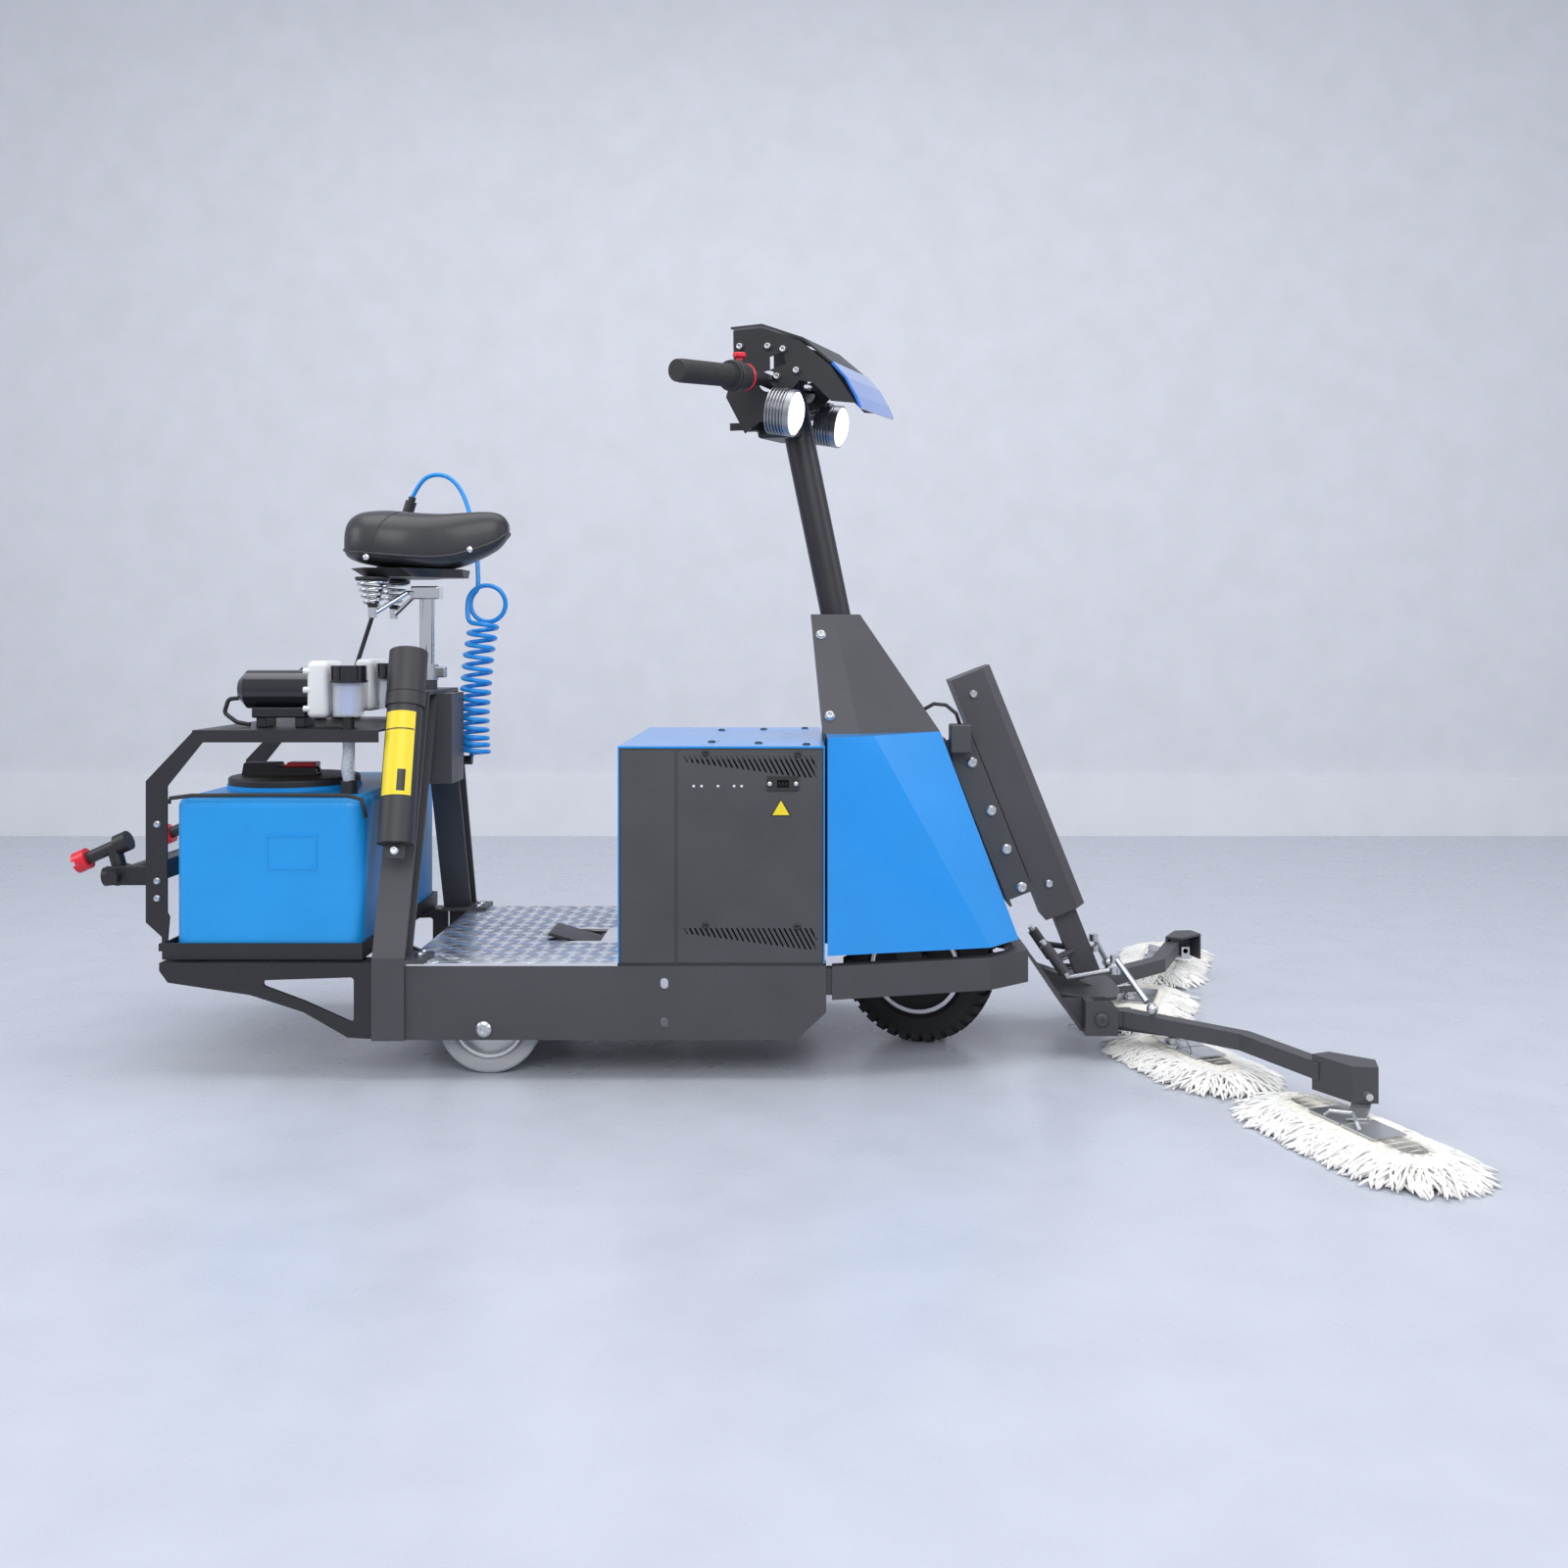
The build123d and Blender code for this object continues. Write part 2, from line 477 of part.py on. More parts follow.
lamps, lenses = [], []
for y in (-LAMP_Y, LAMP_Y):
    body = lamp_rod(y, -22, 18, 32)
    for i in range(6):
        body = body + lamp_rod(y, -22 + i * 5.2, -19.6 + i * 5.2, LAMP_R)
    body = body + lamp_rod(y, 8, 18, LAMP_R + 0.5)
    body = body - lamp_rod(y, 13.8, 30, 34)
    lenses.append(lamp_rod(y, 14, 19, 33.8) + lamp_rod(y, 19, 25, 33.8, 24))
    side = 1 if y > 0 else -1
    reach = sorted((y, side * HEAD_HALF))
    strap = block(LAMP_X - 12, LAMP_X + 6, reach[0], reach[1], LAMP_Z + 31, LAMP_Z + 38)
    lamps.append(body + strap)
save_steered("headlight_bodies", *lamps)
save_steered("headlight_lenses", *lenses)

# ---------------------------------------------------------------- rear wheels
rear_axle = rod((REAR_WHEEL_X, -SIDE - 1, REAR_WHEEL_R), (REAR_WHEEL_X, SIDE + 1, REAR_WHEEL_R), 10)
for y, out in ((-SIDE, -1), (SIDE, 1)):
    rear_axle = rear_axle + bolt((REAR_WHEEL_X, y, REAR_WHEEL_R), (0, out, 0), 12, 7)
for name, y in (("right", -REAR_WHEEL_Y), ("left", REAR_WHEEL_Y)):
    tyre = ring(REAR_WHEEL_X, y, REAR_WHEEL_R, REAR_TYRE_WIDTH / 2, 56, REAR_WHEEL_R, 7)
    rim = ring(REAR_WHEEL_X, y, REAR_WHEEL_R, 21, 50, 56, 1.5)
    rim = rim + ring(REAR_WHEEL_X, y, REAR_WHEEL_R, 4, 20, 51, 1)
    rim = rim + ring(REAR_WHEEL_X, y, REAR_WHEEL_R, 25, 10 + FIT, 21, 1.5)
    save(f"rear_{name}_wheel", tyre, rim)

# ---------------------------------------------------------------- seat hoop, post and saddle
HOOP_TOP_HALF = 98
HOOP_TOP = 590
LEG_WIDTH = 46
LEG_LOW_HALF = SIDE + PLATE + 2
leg_line = [(-LEG_LOW_HALF, DECK_Z + 2), (-LEG_LOW_HALF + LEG_WIDTH, DECK_Z + 2),
            (-HOOP_TOP_HALF + LEG_WIDTH, HOOP_TOP - 40), (-HOOP_TOP_HALF + LEG_WIDTH + 12, HOOP_TOP),
            (-HOOP_TOP_HALF, HOOP_TOP)]
HOOP_REAR = HOOP_X - HOOP_DEPTH / 2
HOOP_FRONT = HOOP_X + HOOP_DEPTH / 2
leg_outer = cross_plate(leg_line, HOOP_REAR, HOOP_FRONT)
core_line = [(y + (6 if i in (0, 4) else -6), z) for i, (y, z) in enumerate(leg_line)]
leg = leg_outer - cross_plate(core_line, HOOP_REAR + PLATE, HOOP_FRONT + 1)
strap = block(HOOP_REAR, HOOP_FRONT, -LEG_LOW_HALF, -SIDE, CHASSIS_Z, DECK_Z + 8)
foot = block(HOOP_REAR, HOOP_FRONT + 30, -LEG_LOW_HALF, -SIDE + 60, DECK_Z, DECK_Z + 6)
top_bar = block(HOOP_REAR, HOOP_FRONT, -HOOP_TOP_HALF, HOOP_TOP_HALF, HOOP_TOP - 6, HOOP_TOP)
hoop_side = joined(leg, strap, foot)
POST_CORE = rod((SEAT_POST_X, 0, 430), (SEAT_POST_X, 0, 640), 17)
hoop = joined(hoop_side, other_side(hoop_side), top_bar) - POST_CORE
seat_box = block(HOOP_REAR - 2, -574, -42, 42, 434, HOOP_TOP - 6)
seat_box = seat_box - block(HOOP_REAR + 2, -578, -38, 38, 430, HOOP_TOP - 10)
seat_box = seat_box - POST_CORE
seat_tube = rod((SEAT_POST_X, 0, 440), (SEAT_POST_X, 0, 606), 17, 12.5 + FIT)
save("seat_hoop", hoop, seat_box, seat_tube)
collar = rod((SEAT_POST_X, 0, 606), (SEAT_POST_X, 0, 632), 19, 12.5 + FIT)
collar = collar + block(SEAT_POST_X + 14, SEAT_POST_X + 32, -9, 9, 610, 628, 2)
collar = collar - rod((SEAT_POST_X, 0, 600), (SEAT_POST_X, 0, 640), 12.5 + FIT)

SADDLE_REAR = -754
SADDLE_NOSE = -489
SADDLE_LOW = 792
SADDLE_TOP = 876
PAN_FRONT = -560


def saddle_layer(z, grow):
    """The saddle's outline at a height: wide and round behind, narrow at the nose."""
    back, nose = SADDLE_REAR - grow, SADDLE_NOSE + grow
    wide, slim = 98 + grow, max(24 + grow, 8)
    points = [(nose, z), (nose - 14, slim), (nose - 90, slim + 22), (back + 96, wide - 4), (back + 40, wide),
              (back + 8, wide - 34)]
    right = [(x, -y, z) for x, y in points[1:]]
    left = [(x, -y, z) for x, y, z in reversed(right)]
    return make_face(Polyline((nose, 0, z), *right, (back, 0, z), *left, close=True))


cushion = loft([saddle_layer(SADDLE_LOW, -6), saddle_layer(SADDLE_LOW + 30, 0),
                saddle_layer(SADDLE_TOP - 26, -3), saddle_layer(SADDLE_TOP, -24)], ruled=True)
save("saddle_cushion", cushion)
pan = loft([saddle_layer(778, -26), saddle_layer(SADDLE_LOW - 0.4, -8)], ruled=True)
pan = pan - block(PAN_FRONT, SADDLE_NOSE + 20, -120, 120, 770, SADDLE_LOW)
save("saddle_pan", pan)
# A chrome clamp on the post carries two arms, and a conical spring stands on each
SPRING_X = -700
SPRING_Y = 62
SPRING_Z = (727, 777)
post = rod((SEAT_POST_X, 0, 470), (SEAT_POST_X, 0, SEAT_POST_Z), 12.5, 10)
clamp = block(-650, -602, -17, 17, 742, 764, 3) - rod((SEAT_POST_X, 0, 740), (SEAT_POST_X, 0, 790), 12.5)
for y in (-SPRING_Y, SPRING_Y):
    elbow = (-652, y * 0.5, 752)
    clamp = clamp + rod((-640, 0, 752), elbow, 4) + rod(elbow, (SPRING_X, y, 715), 4)
    clamp = clamp + rod((SPRING_X, y, 710), (SPRING_X, y, SPRING_Z[0] - 0.2), 7)
save("seat_post", post, clamp)
springs = [cone((SPRING_X, y, SPRING_Z[0]), (SPRING_X, y, SPRING_Z[1]), 6, 17) for y in (-SPRING_Y, SPRING_Y)]
save("saddle_springs", *springs)

# ---------------------------------------------------------------- carrier behind the seat
BRACKET_FRONT = HOOP_REAR - 1
bracket_line = [(-973, DECK_Z), (-973, 168), (-960, 150), (-834, 131), (-753, 105), (-685, 66),
                (BRACKET_FRONT, 64), (BRACKET_FRONT, DECK_Z)]
window = [(-835, 153), (-676, 158), (-676, 88), (-752, 122)]
bracket = side_plate(bracket_line, -SIDE + 2, -SIDE + 8)
bracket = bracket - side_plate(window, -SIDE, -SIDE + 10, 5)
shelf_flange = block(-973, BRACKET_FRONT, -SIDE + 8, -SIDE + 44, DECK_Z - PLATE, DECK_Z)
bracket = bracket + shelf_flange
TRAY_HALF = TANK_HALF + 6
tray = block(TANK_REAR - 15, TANK_FRONT + 3, -TRAY_HALF, TRAY_HALF, DECK_Z + 3, DECK_Z + 28)
tray = tray - block(TANK_REAR - 12, TANK_FRONT, -TRAY_HALF + 3, TRAY_HALF - 3, DECK_Z + 6, DECK_Z + 30)
for x in (-950, -700):
    for y in (-TRAY_HALF + 6, TRAY_HALF - 36):
        tray = tray + block(x, x + 30, y, y + 30, DECK_Z, DECK_Z + 3)
POST_REAR = -1010
post_line = [(POST_REAR, 235), (-985, 212), (-985, 201), (-977, 201), (-973.5, 243), (-977, 250), (-977, 446),
             (-921, 516), (-921, SHELF_Z), (-938, SHELF_Z), (POST_REAR, 454)]
post_plate = side_plate(post_line, -FRAME_HALF, -FRAME_HALF + PLATE)
post_foot = block(-990, -972.9, -FRAME_HALF, -FRAME_HALF + 30, 190, 201.5)
post_side = joined(post_plate, post_foot)
shelf = block(-938, -649, -FRAME_HALF, FRAME_HALF, SHELF_Z, SHELF_Z + SHEET)
shelf = shelf + block(-921, -649, -FRAME_HALF, -FRAME_HALF + 2, SHELF_Z - 16, SHELF_Z)
shelf = shelf + block(-921, -649, FRAME_HALF - 2, FRAME_HALF, SHELF_Z - 16, SHELF_Z)
FILTER_X = -707
PUMP_Y = (-118, 128)
FILTER_Y = tuple(y - 47 for y in PUMP_Y)
for y in FILTER_Y:
    shelf = shelf - rod((FILTER_X, y, SHELF_Z - 5), (FILTER_X, y, SHELF_Z + 8), 14)
bar = block(-1006, -984, -FRAME_HALF + PLATE, FRAME_HALF - PLATE, 300, 330)
pump_frame = joined(post_side, other_side(post_side), shelf, bar)
SPRAY_X = -1072
SPRAY_Z = 301
lugs = []
for y in (-172, 166):
    lug = block(SPRAY_X - 16, -1004, y, y + 6, SPRAY_Z - 14, SPRAY_Z + 16, 2)
    lugs.append(lug - rod((SPRAY_X, y - 1, SPRAY_Z), (SPRAY_X, y + 7, SPRAY_Z), 10 + FIT))
pump_frame = joined(pump_frame, *lugs)
LANCE_Y = 182
cup = rod((-829, LANCE_Y, SHELF_Z + SHEET), (-829, LANCE_Y, SHELF_Z + 22), 18, 15.5)
save("rear_carrier", *both(bracket), tray, pump_frame, cup)

tank = block(TANK_REAR, TANK_FRONT, -TANK_HALF, TANK_HALF, TANK_LOW + 2, TANK_TOP)
tank = fillet(tank.edges().filter_by(Axis.Z), 24)
tank = fillet(tank.faces().sort_by(Axis.Z)[-1].edges(), 16)
tank = fillet(tank.faces().sort_by(Axis.Z)[0].edges(), 10)
LID_X = -835
LID_Y = -40
neck = rod((LID_X, LID_Y, TANK_TOP), (LID_X, LID_Y, TANK_TOP + 6), 106)
panel = block(-816, -738, -TANK_HALF - 1.2, -TANK_HALF + 2, 320, 374)
panel = panel - block(-813, -741, -TANK_HALF - 2, -TANK_HALF - 0.2, 323, 371)
tank = joined(tank, neck, panel)
tank = tank - rod((LID_X, LID_Y, TANK_TOP - 20), (LID_X, LID_Y, TANK_TOP + 10), 88)
FITTING_X = -706
fittings = []
for y in FILTER_Y:
    fittings.append(rod((FITTING_X, y, TANK_TOP), (FITTING_X, y, TANK_TOP + 20), 13))
save("tank", tank)
lid = rod((LID_X, LID_Y, TANK_TOP + 6.3), (LID_X, LID_Y, TANK_TOP + 18), 104)
lid = fillet(lid.edges().filter_by(GeomType.CIRCLE).sort_by(Axis.Z)[-1], 4)
lid = lid + rod((LID_X, LID_Y, TANK_TOP - 12), (LID_X, LID_Y, TANK_TOP + 7), 87.6, 80)
LEVER_X = -850
handle = side_plate([(-920, 448), (-916, 470), (LEVER_X - 8, 470), (LEVER_X - 8, 462), (-798, 462), (-794, 448)],
                    LID_Y - 13, LID_Y + 13, 3)
handle = handle - block(LEVER_X - 6.5, -790, LID_Y - 5, LID_Y + 5, 453, 475)
save("tank_lid", lid + handle)
lever = block(LEVER_X + 5, -797, LID_Y - 13, LID_Y + 13, 462.4, 470.5, 2)
lever = lever + block(LEVER_X - 4, LEVER_X + 10, LID_Y - 4.6, LID_Y + 4.6, 457, 466)
save("lid_lever", lever)

# ---------------------------------------------------------------- pumps, filters and their hoses
MOTOR_Z = 594
MOTOR_R = 31
PUMP_HEAD_X = (-776, -700)
motors, heads, bowls, hoses = [], [], [], []
for y in PUMP_Y:
    motor = rod((-894, y, MOTOR_Z), (PUMP_HEAD_X[0] - 0.2, y, MOTOR_Z), MOTOR_R)
    motor = chamfer(motor.edges().filter_by(GeomType.CIRCLE).sort_by(Axis.X)[0], 12)
    motor = motor + block(-868, -782, y - 28, y + 28, 549, 566, 3)
    for x in (-862, -800):
        motor = motor + block(x, x + 16, y - 24, y + 24, SHELF_Z + SHEET, 550, 2)
    motors.append(motor)
    head = block(PUMP_HEAD_X[0], PUMP_HEAD_X[0] + 34, y - 42, y + 42, 549, 640, 9)
    head = head + block(PUMP_HEAD_X[0] + 30, PUMP_HEAD_X[1], y - 16, y + 40, 556, 632, 10)
    for z in (564, 594, 624):
        for dy in (-37, 37):
            head = head + rod((PUMP_HEAD_X[0] - 5, y + dy, z), (PUMP_HEAD_X[0] + 6, y + dy, z), 5)
    heads.append(head)
for y in FILTER_Y:
    cap = rod((FILTER_X, y, 606), (FILTER_X, y, 610), 30) + rod((FILTER_X, y, 610), (FILTER_X, y, 633), 26)
    for i in range(10):
        rib = Pos(FILTER_X, y, 621) * Rot(0, 0, 36 * i) * Pos(26, 0, 0) * Box(4, 6, 22)
        cap = cap + rib
    motors.append(cap)
    bowls.append(rod((FILTER_X, y, 556), (FILTER_X, y, 605.8), 23.5, 21)
                 + rod((FILTER_X, y, 553), (FILTER_X, y, 556), 23.5))
    core = rod((FILTER_X, y, 556.2), (FILTER_X, y, 605.6), 12, 10)
    spigot = rod((FILTER_X, y, SHELF_Z - 8), (FILTER_X, y, 552.8), 9)
    route = [(FILTER_X, y, SHELF_Z - 8), (FILTER_X + 1, y, 498), (FILTER_X - 3, y, 470), (FITTING_X, y, TANK_TOP + 20)]
    hose, _ = path_tube(route, 9, arc_radii(route))
    hoses += [core, spigot, hose]
for y in PUMP_Y:
    route = [(-894.2, y, 580), (-915, y, 578), (-922, y, 556), (-902, y, 541), (-880, y, 536.8)]
    cable, _ = path_tube(route, 3.4, [8, 8, 12])
    hoses.append(cable)
HOSE_END = (-597, 98, 462)
hoses.append(rod(HOSE_END, (-572, 98, 462), 8))
save("pump_motors", *motors)
save("pump_heads", *heads)
save("filter_bowls", *bowls)
save("pump_hoses", *hoses, *fittings)

# ---------------------------------------------------------------- document tube on the right leg
TUBE_LOW = Vector(-615, -229, 360)
TUBE_TOP = Vector(-622, -127, 655)
tube_dir = (TUBE_TOP - TUBE_LOW).normalized()
tube_len = (TUBE_TOP - TUBE_LOW).length
CAP_LEN = 72


def on_tube(d):
    return tuple(TUBE_LOW + tube_dir * d)


doc = rod(on_tube(0), on_tube(tube_len - 14), 27.5) - rod(on_tube(3), on_tube(tube_len), 24.5)
doc = doc + rod(on_tube(tube_len - CAP_LEN - 22), on_tube(tube_len - CAP_LEN - 1), 30.5, 27)
for d in (70, 180):
    p = Vector(*on_tube(d))
    doc = doc + rod(tuple(p), tuple(p + Vector(0, 33, 12)), 6)
doc = doc - rod(on_tube(3), on_tube(tube_len), 24.5)
tab = Vector(*on_tube(-10))
doc = doc + (Plane(origin=tab, z_dir=(0, -1, 0.35)) * Box(24, 30, 4))
save("document_tube", doc)
doc_cap = rod(on_tube(tube_len - CAP_LEN), on_tube(tube_len), 30.2)
doc_cap = fillet(doc_cap.edges().filter_by(GeomType.CIRCLE).sort_by_distance(TUBE_TOP)[0], 3)
doc_cap = doc_cap - rod(on_tube(tube_len - CAP_LEN - 1), on_tube(tube_len - 3), 27.5 + FIT)
save("document_cap", doc_cap)

# ---------------------------------------------------------------- nozzles on a spray bar that turns
pipe = rod((SPRAY_X, -186, SPRAY_Z), (SPRAY_X, 186, SPRAY_Z), 10)
NOZZLE_Y = 150
AIM = radians(24)
aim = Vector(-cos(AIM), 0, -sin(AIM))
bodies, caps = [pipe], []
for y in (-NOZZLE_Y, NOZZLE_Y):
    base = Vector(SPRAY_X, y, SPRAY_Z)
    nozzle = rod((SPRAY_X, y - 14, SPRAY_Z), (SPRAY_X, y + 14, SPRAY_Z), 16)
    knee = Vector(SPRAY_X - 12, y, SPRAY_Z + 44)
    nozzle = nozzle + rod(tuple(base), tuple(knee), 11)
    back = knee - aim * 26
    nozzle = nozzle + rod(tuple(back), tuple(knee + aim * 44), 10)
    nozzle = nozzle + rod(tuple(back), tuple(back + aim * 20), 16)
    nozzle = nozzle + rod((SPRAY_X, y, SPRAY_Z), (SPRAY_X - 26, y, SPRAY_Z - 4), 15)
    bodies[0] = bodies[0] + nozzle
    tip = knee + aim * 44.2
    fan = rod(tuple(tip), tuple(tip + aim * 20), 17)
    fan = fan - (Plane(origin=tip + aim * 22, z_dir=aim) * Box(7, 40, 14))
    caps.append(fan)
save("nozzle_bodies", *bodies)
save("nozzle_caps", *caps)

# ---------------------------------------------------------------- spray gun, its lance and its hose
GUN_TOP = Vector(-700, LANCE_Y, 934)
LANCE_END = Vector(-831, LANCE_Y, SHELF_Z + 8)
VALVE = Vector(-745, LANCE_Y, 800)
gun = rod(tuple(GUN_TOP - Vector(2, 0, 8)), tuple(GUN_TOP), 6.5)
gun = gun + rod(tuple(GUN_TOP - Vector(9, 0, 30)), tuple(GUN_TOP - Vector(2, 0, 8)), 10)
gun = gun + rod(tuple(VALVE), tuple(GUN_TOP - Vector(9, 0, 30)), 14)
gun = gun + block(VALVE.X - 18, VALVE.X + 26, LANCE_Y - 13, LANCE_Y + 13, VALVE.Z - 26, VALVE.Z + 20, 5)
gun = gun - block(VALVE.X + 10, VALVE.X + 60, LANCE_Y - 5, LANCE_Y + 5, VALVE.Z - 5, VALVE.Z + 56)
low = Vector(VALVE.X - 8, LANCE_Y, VALVE.Z - 20)
gun = gun + rod(tuple(low), tuple(low + (LANCE_END - low) * 0.93), 4) + rod(tuple(low + (LANCE_END - low) * 0.9), tuple(LANCE_END), 7)
save("spray_gun", gun)
TRIGGER_AT = (VALVE.X + 18, LANCE_Y, VALVE.Z + 2)
trigger = rod((TRIGGER_AT[0], LANCE_Y - 4, TRIGGER_AT[2]), (TRIGGER_AT[0], LANCE_Y + 4, TRIGGER_AT[2]), 5)
reach = Vector(VALVE.X + 62, LANCE_Y, VALVE.Z + 78)
trigger = trigger + rod(TRIGGER_AT, tuple(reach), 3.6)
save("gun_trigger", trigger)

HOSE_ROUTE = [(-699, 182, 936), (-686, 182, 963), (-662, 181, 976), (-634, 180, 972), (-612, 177, 950),
              (-597, 170, 918), (-584, 156, 878), (-573, 136, 836), (-565, 112, 797), (-561, 92, 764)]
HOSE_ROUTE[0] = tuple(GUN_TOP)
radii = arc_radii(HOSE_ROUTE)
lead, lead_length = path_tube(HOSE_ROUTE, HOSE_D / 2, radii)
print("hose arcs", [round(r, 1) for r in radii], "length", round(lead_length, 1))
print("hose volume over section times length", round(lead.volume / (pi * (HOSE_D / 2) ** 2 * lead_length), 4))
save("hose_lead", lead)
COIL_AXIS = [(-546, 75, 704), (-555, 75, 652), (-560, 76, 597), (-564, 77, 551), (-565, 79, 507), (-563, 81, 474)]
coil_radii = arc_radii(COIL_AXIS)
coil, coil_length = path_tube(COIL_AXIS, COIL_D / 2, coil_radii)
LOOP_R = 33
loop = rod((-541, 64, 737), (-541, 94, 737), LOOP_R)
print("coil length", round(coil_length, 1))
save("hose_coil", coil, loop)

# ---------------------------------------------------------------- lift in front of the hood
# The lift leans back. Places on it are given as a distance up its slope and a distance out from it.
TILT = radians(LIFT_TILT)
LIFT_BASE = Vector(449, 0, 219)
LIFT_UP = Vector(-sin(TILT), 0, cos(TILT))
LIFT_OUT = Vector(cos(TILT), 0, sin(TILT))


def on_lift(up, out, y=0):
    return LIFT_BASE + LIFT_UP * up + LIFT_OUT * out + Vector(0, y, 0)


def lift_box(up0, up1, out0, out1, y0, y1):
    middle = on_lift((up0 + up1) / 2, (out0 + out1) / 2, (y0 + y1) / 2)
    frame = Plane(origin=middle, x_dir=LIFT_OUT, z_dir=LIFT_UP)
    return frame * Box(out1 - out0, y1 - y0, up1 - up0)


COVER_LEN = 430
COVER_HALF = 36
COVER_Y = 38
BOLTS_UP = (291, 205, 136, 68)
mount = lift_box(45, 345, -84, -80, -46, 46)
for y0, y1 in ((-46, -42), (42, 46)):
    mount = mount + lift_box(56, 332, -80, -38, y0, y1)
save("lift_mount", mount)


def lift_profile(half, wall, cut):
    """The cover's outline across its slope, with both front corners cut."""
    out, y = half - wall, COVER_Y - wall
    return [(-out, -y), (out - cut, -y), (out, -y + cut), (out, y - cut), (out - cut, y), (-out, y)]


def lift_prism(points, up0, up1):
    frame = Plane(origin=on_lift(up0, 0), x_dir=LIFT_OUT, z_dir=LIFT_UP)
    face = make_face(Polyline(*[(a, -b) for a, b in points], close=True))
    return extrude(frame * face, up1 - up0)


STRUT_UP = (-120, 300)
STRUT = (20, 15)              # half depth and half width of the sliding strut
cover_shell = lift_prism(lift_profile(COVER_HALF, 0, 15), 0, COVER_LEN)
cover_shell = cover_shell - lift_prism(lift_profile(COVER_HALF, 2.5, 14), 8, COVER_LEN - 3)
cover_shell = cover_shell - lift_box(-5, 20, -STRUT[0] - 0.5, STRUT[0] + 0.5, -STRUT[1] - 0.5, STRUT[1] + 0.5)
ram = rod(tuple(on_lift(120, 0)), tuple(on_lift(COVER_LEN - 2.9, 0)), 8)
hanger = joined(*[lift_box(90, 130, -COVER_HALF - 2, -COVER_HALF, y, y + 8) for y in (-20, 12)])
hanger = hanger + lift_box(90, 130, -80, -COVER_HALF, -20, 20)
limit_box = block(252, 286, -86, -48, 488, 535, 3)
limit_foot = block(258, 276, -50, -46.2, 474, 500)
save("lift_cover", cover_shell, ram, hanger, limit_box + limit_foot)

strut = lift_box(*STRUT_UP, -STRUT[0], STRUT[0], -STRUT[1], STRUT[1])
strut = strut - lift_box(STRUT_UP[0] + 60, STRUT_UP[1] + 1, -STRUT[0] + 3, STRUT[0] - 3, -STRUT[1] + 3, STRUT[1] - 3)

# ---------------------------------------------------------------- mop carriage
PLATE_LOW = 42
PIVOT_X = 487
PIVOT_Y = 118
skirt = side_plate([(400, 128), (404, 131), (462, 46), (462, PLATE_LOW), (458, PLATE_LOW)], -112, 112)
floor_plate = flat_plate([(430, -74), (474, -112), (520, -96), (538, -40), (538, 40), (520, 96), (474, 112), (430, 74)],
                         88, 93)
riser = side_plate([(404, 125), (500, 92), (500, 88), (440, 88), (428, 94)], -20, 20)
carriage = joined(strut, skirt, floor_plate, riser)
for y in (-104, -66, 66, 104):
    gusset = side_plate([(403, 127), (462, 46), (474, 46), (474, 93), (430, 93)], y - 2, y + 2)
    carriage = carriage + gusset
half_hub = block(462, 476, -PIVOT_Y - 18, -PIVOT_Y + 18, 40, 95)
for y in (-PIVOT_Y - 18, -PIVOT_Y + 14):
    cheek = side_plate([(470, 40), (514, 40), (514, 84), (500, 95), (470, 95)], y, y + 4)
    half_hub = half_hub + cheek
half_hub = half_hub - rod((PIVOT_X, -160, ARM_Z), (PIVOT_X, -80, ARM_Z), 6 + FIT)
carrier_bar = flat_plate([(474, -58), (474, -92), (592, -156), (606, -156), (606, -134), (592, -130)], 44.5, 50)
bar_web = block(470, 478, -92, -58, 44.5, 92)
half_hub = joined(half_hub, carrier_bar, bar_web)
SLEEVE_AXIS = Vector(0.57, 0, -0.82).normalized()
CRANK_AT = Vector(445, -60, 119)
sleeve = rod(tuple(CRANK_AT - SLEEVE_AXIS * 62), tuple(CRANK_AT - SLEEVE_AXIS * 6), 9, 5 + FIT)
sleeve_foot = rod(tuple(CRANK_AT - SLEEVE_AXIS * 34), (466, -12, 150), 5)
sleeve_foot = sleeve_foot - rod(tuple(CRANK_AT - SLEEVE_AXIS * 70), tuple(CRANK_AT), 6)
half_hub = joined(half_hub, sleeve + sleeve_foot)
carriage = joined(carriage, half_hub, other_side(half_hub))
save("mop_carriage", carriage)

# A crank turns in each sleeve and a link with a ball stud ties it to the arm
EYE = Vector(520, -85, 150)
BALL = Vector(561, -165, 91)
crank = rod(tuple(CRANK_AT - SLEEVE_AXIS * 70), tuple(CRANK_AT + SLEEVE_AXIS * 4), 5)
crank = crank + Pos(CRANK_AT + SLEEVE_AXIS * 4) * Sphere(5)
knee = CRANK_AT + SLEEVE_AXIS * 4
crank = crank + rod(tuple(knee), (EYE.X - 6, EYE.Y + 2, EYE.Z - 17), 4.5)
crank = crank + rod((EYE.X, EYE.Y, EYE.Z - 22), (EYE.X, EYE.Y, EYE.Z - 12), 9)
link = rod((EYE.X, EYE.Y, EYE.Z - 4), (EYE.X, EYE.Y, EYE.Z + 8), 8)
link = link + rod(tuple(EYE + Vector(0, 0, 4)), tuple(EYE + (BALL - EYE) * 0.86), 5)
link = link + Pos(BALL) * Sphere(9)
stud_gap = 0.3
link = link - Pos(BALL) * Sphere(5 + stud_gap)
link = link - rod(tuple(BALL), tuple(BALL - Vector(0, 0, 20)), 5)
for name, turn in (("right", lambda s: s), ("left", other_side)):
    save(f"crank_{name}", turn(crank))
    save(f"link_{name}", turn(link))

# ---------------------------------------------------------------- arms and mops
H = ARM_SIDE / 2
root = block(474 + 4, 540, -PIVOT_Y - H, -PIVOT_Y + H, ARM_Z - H, ARM_Z + H)
root = fillet(root.edges().filter_by(Axis.Y).group_by(Axis.X)[0], 8)
arm_points = [(526, -118), (678, -254), (744, -405)]


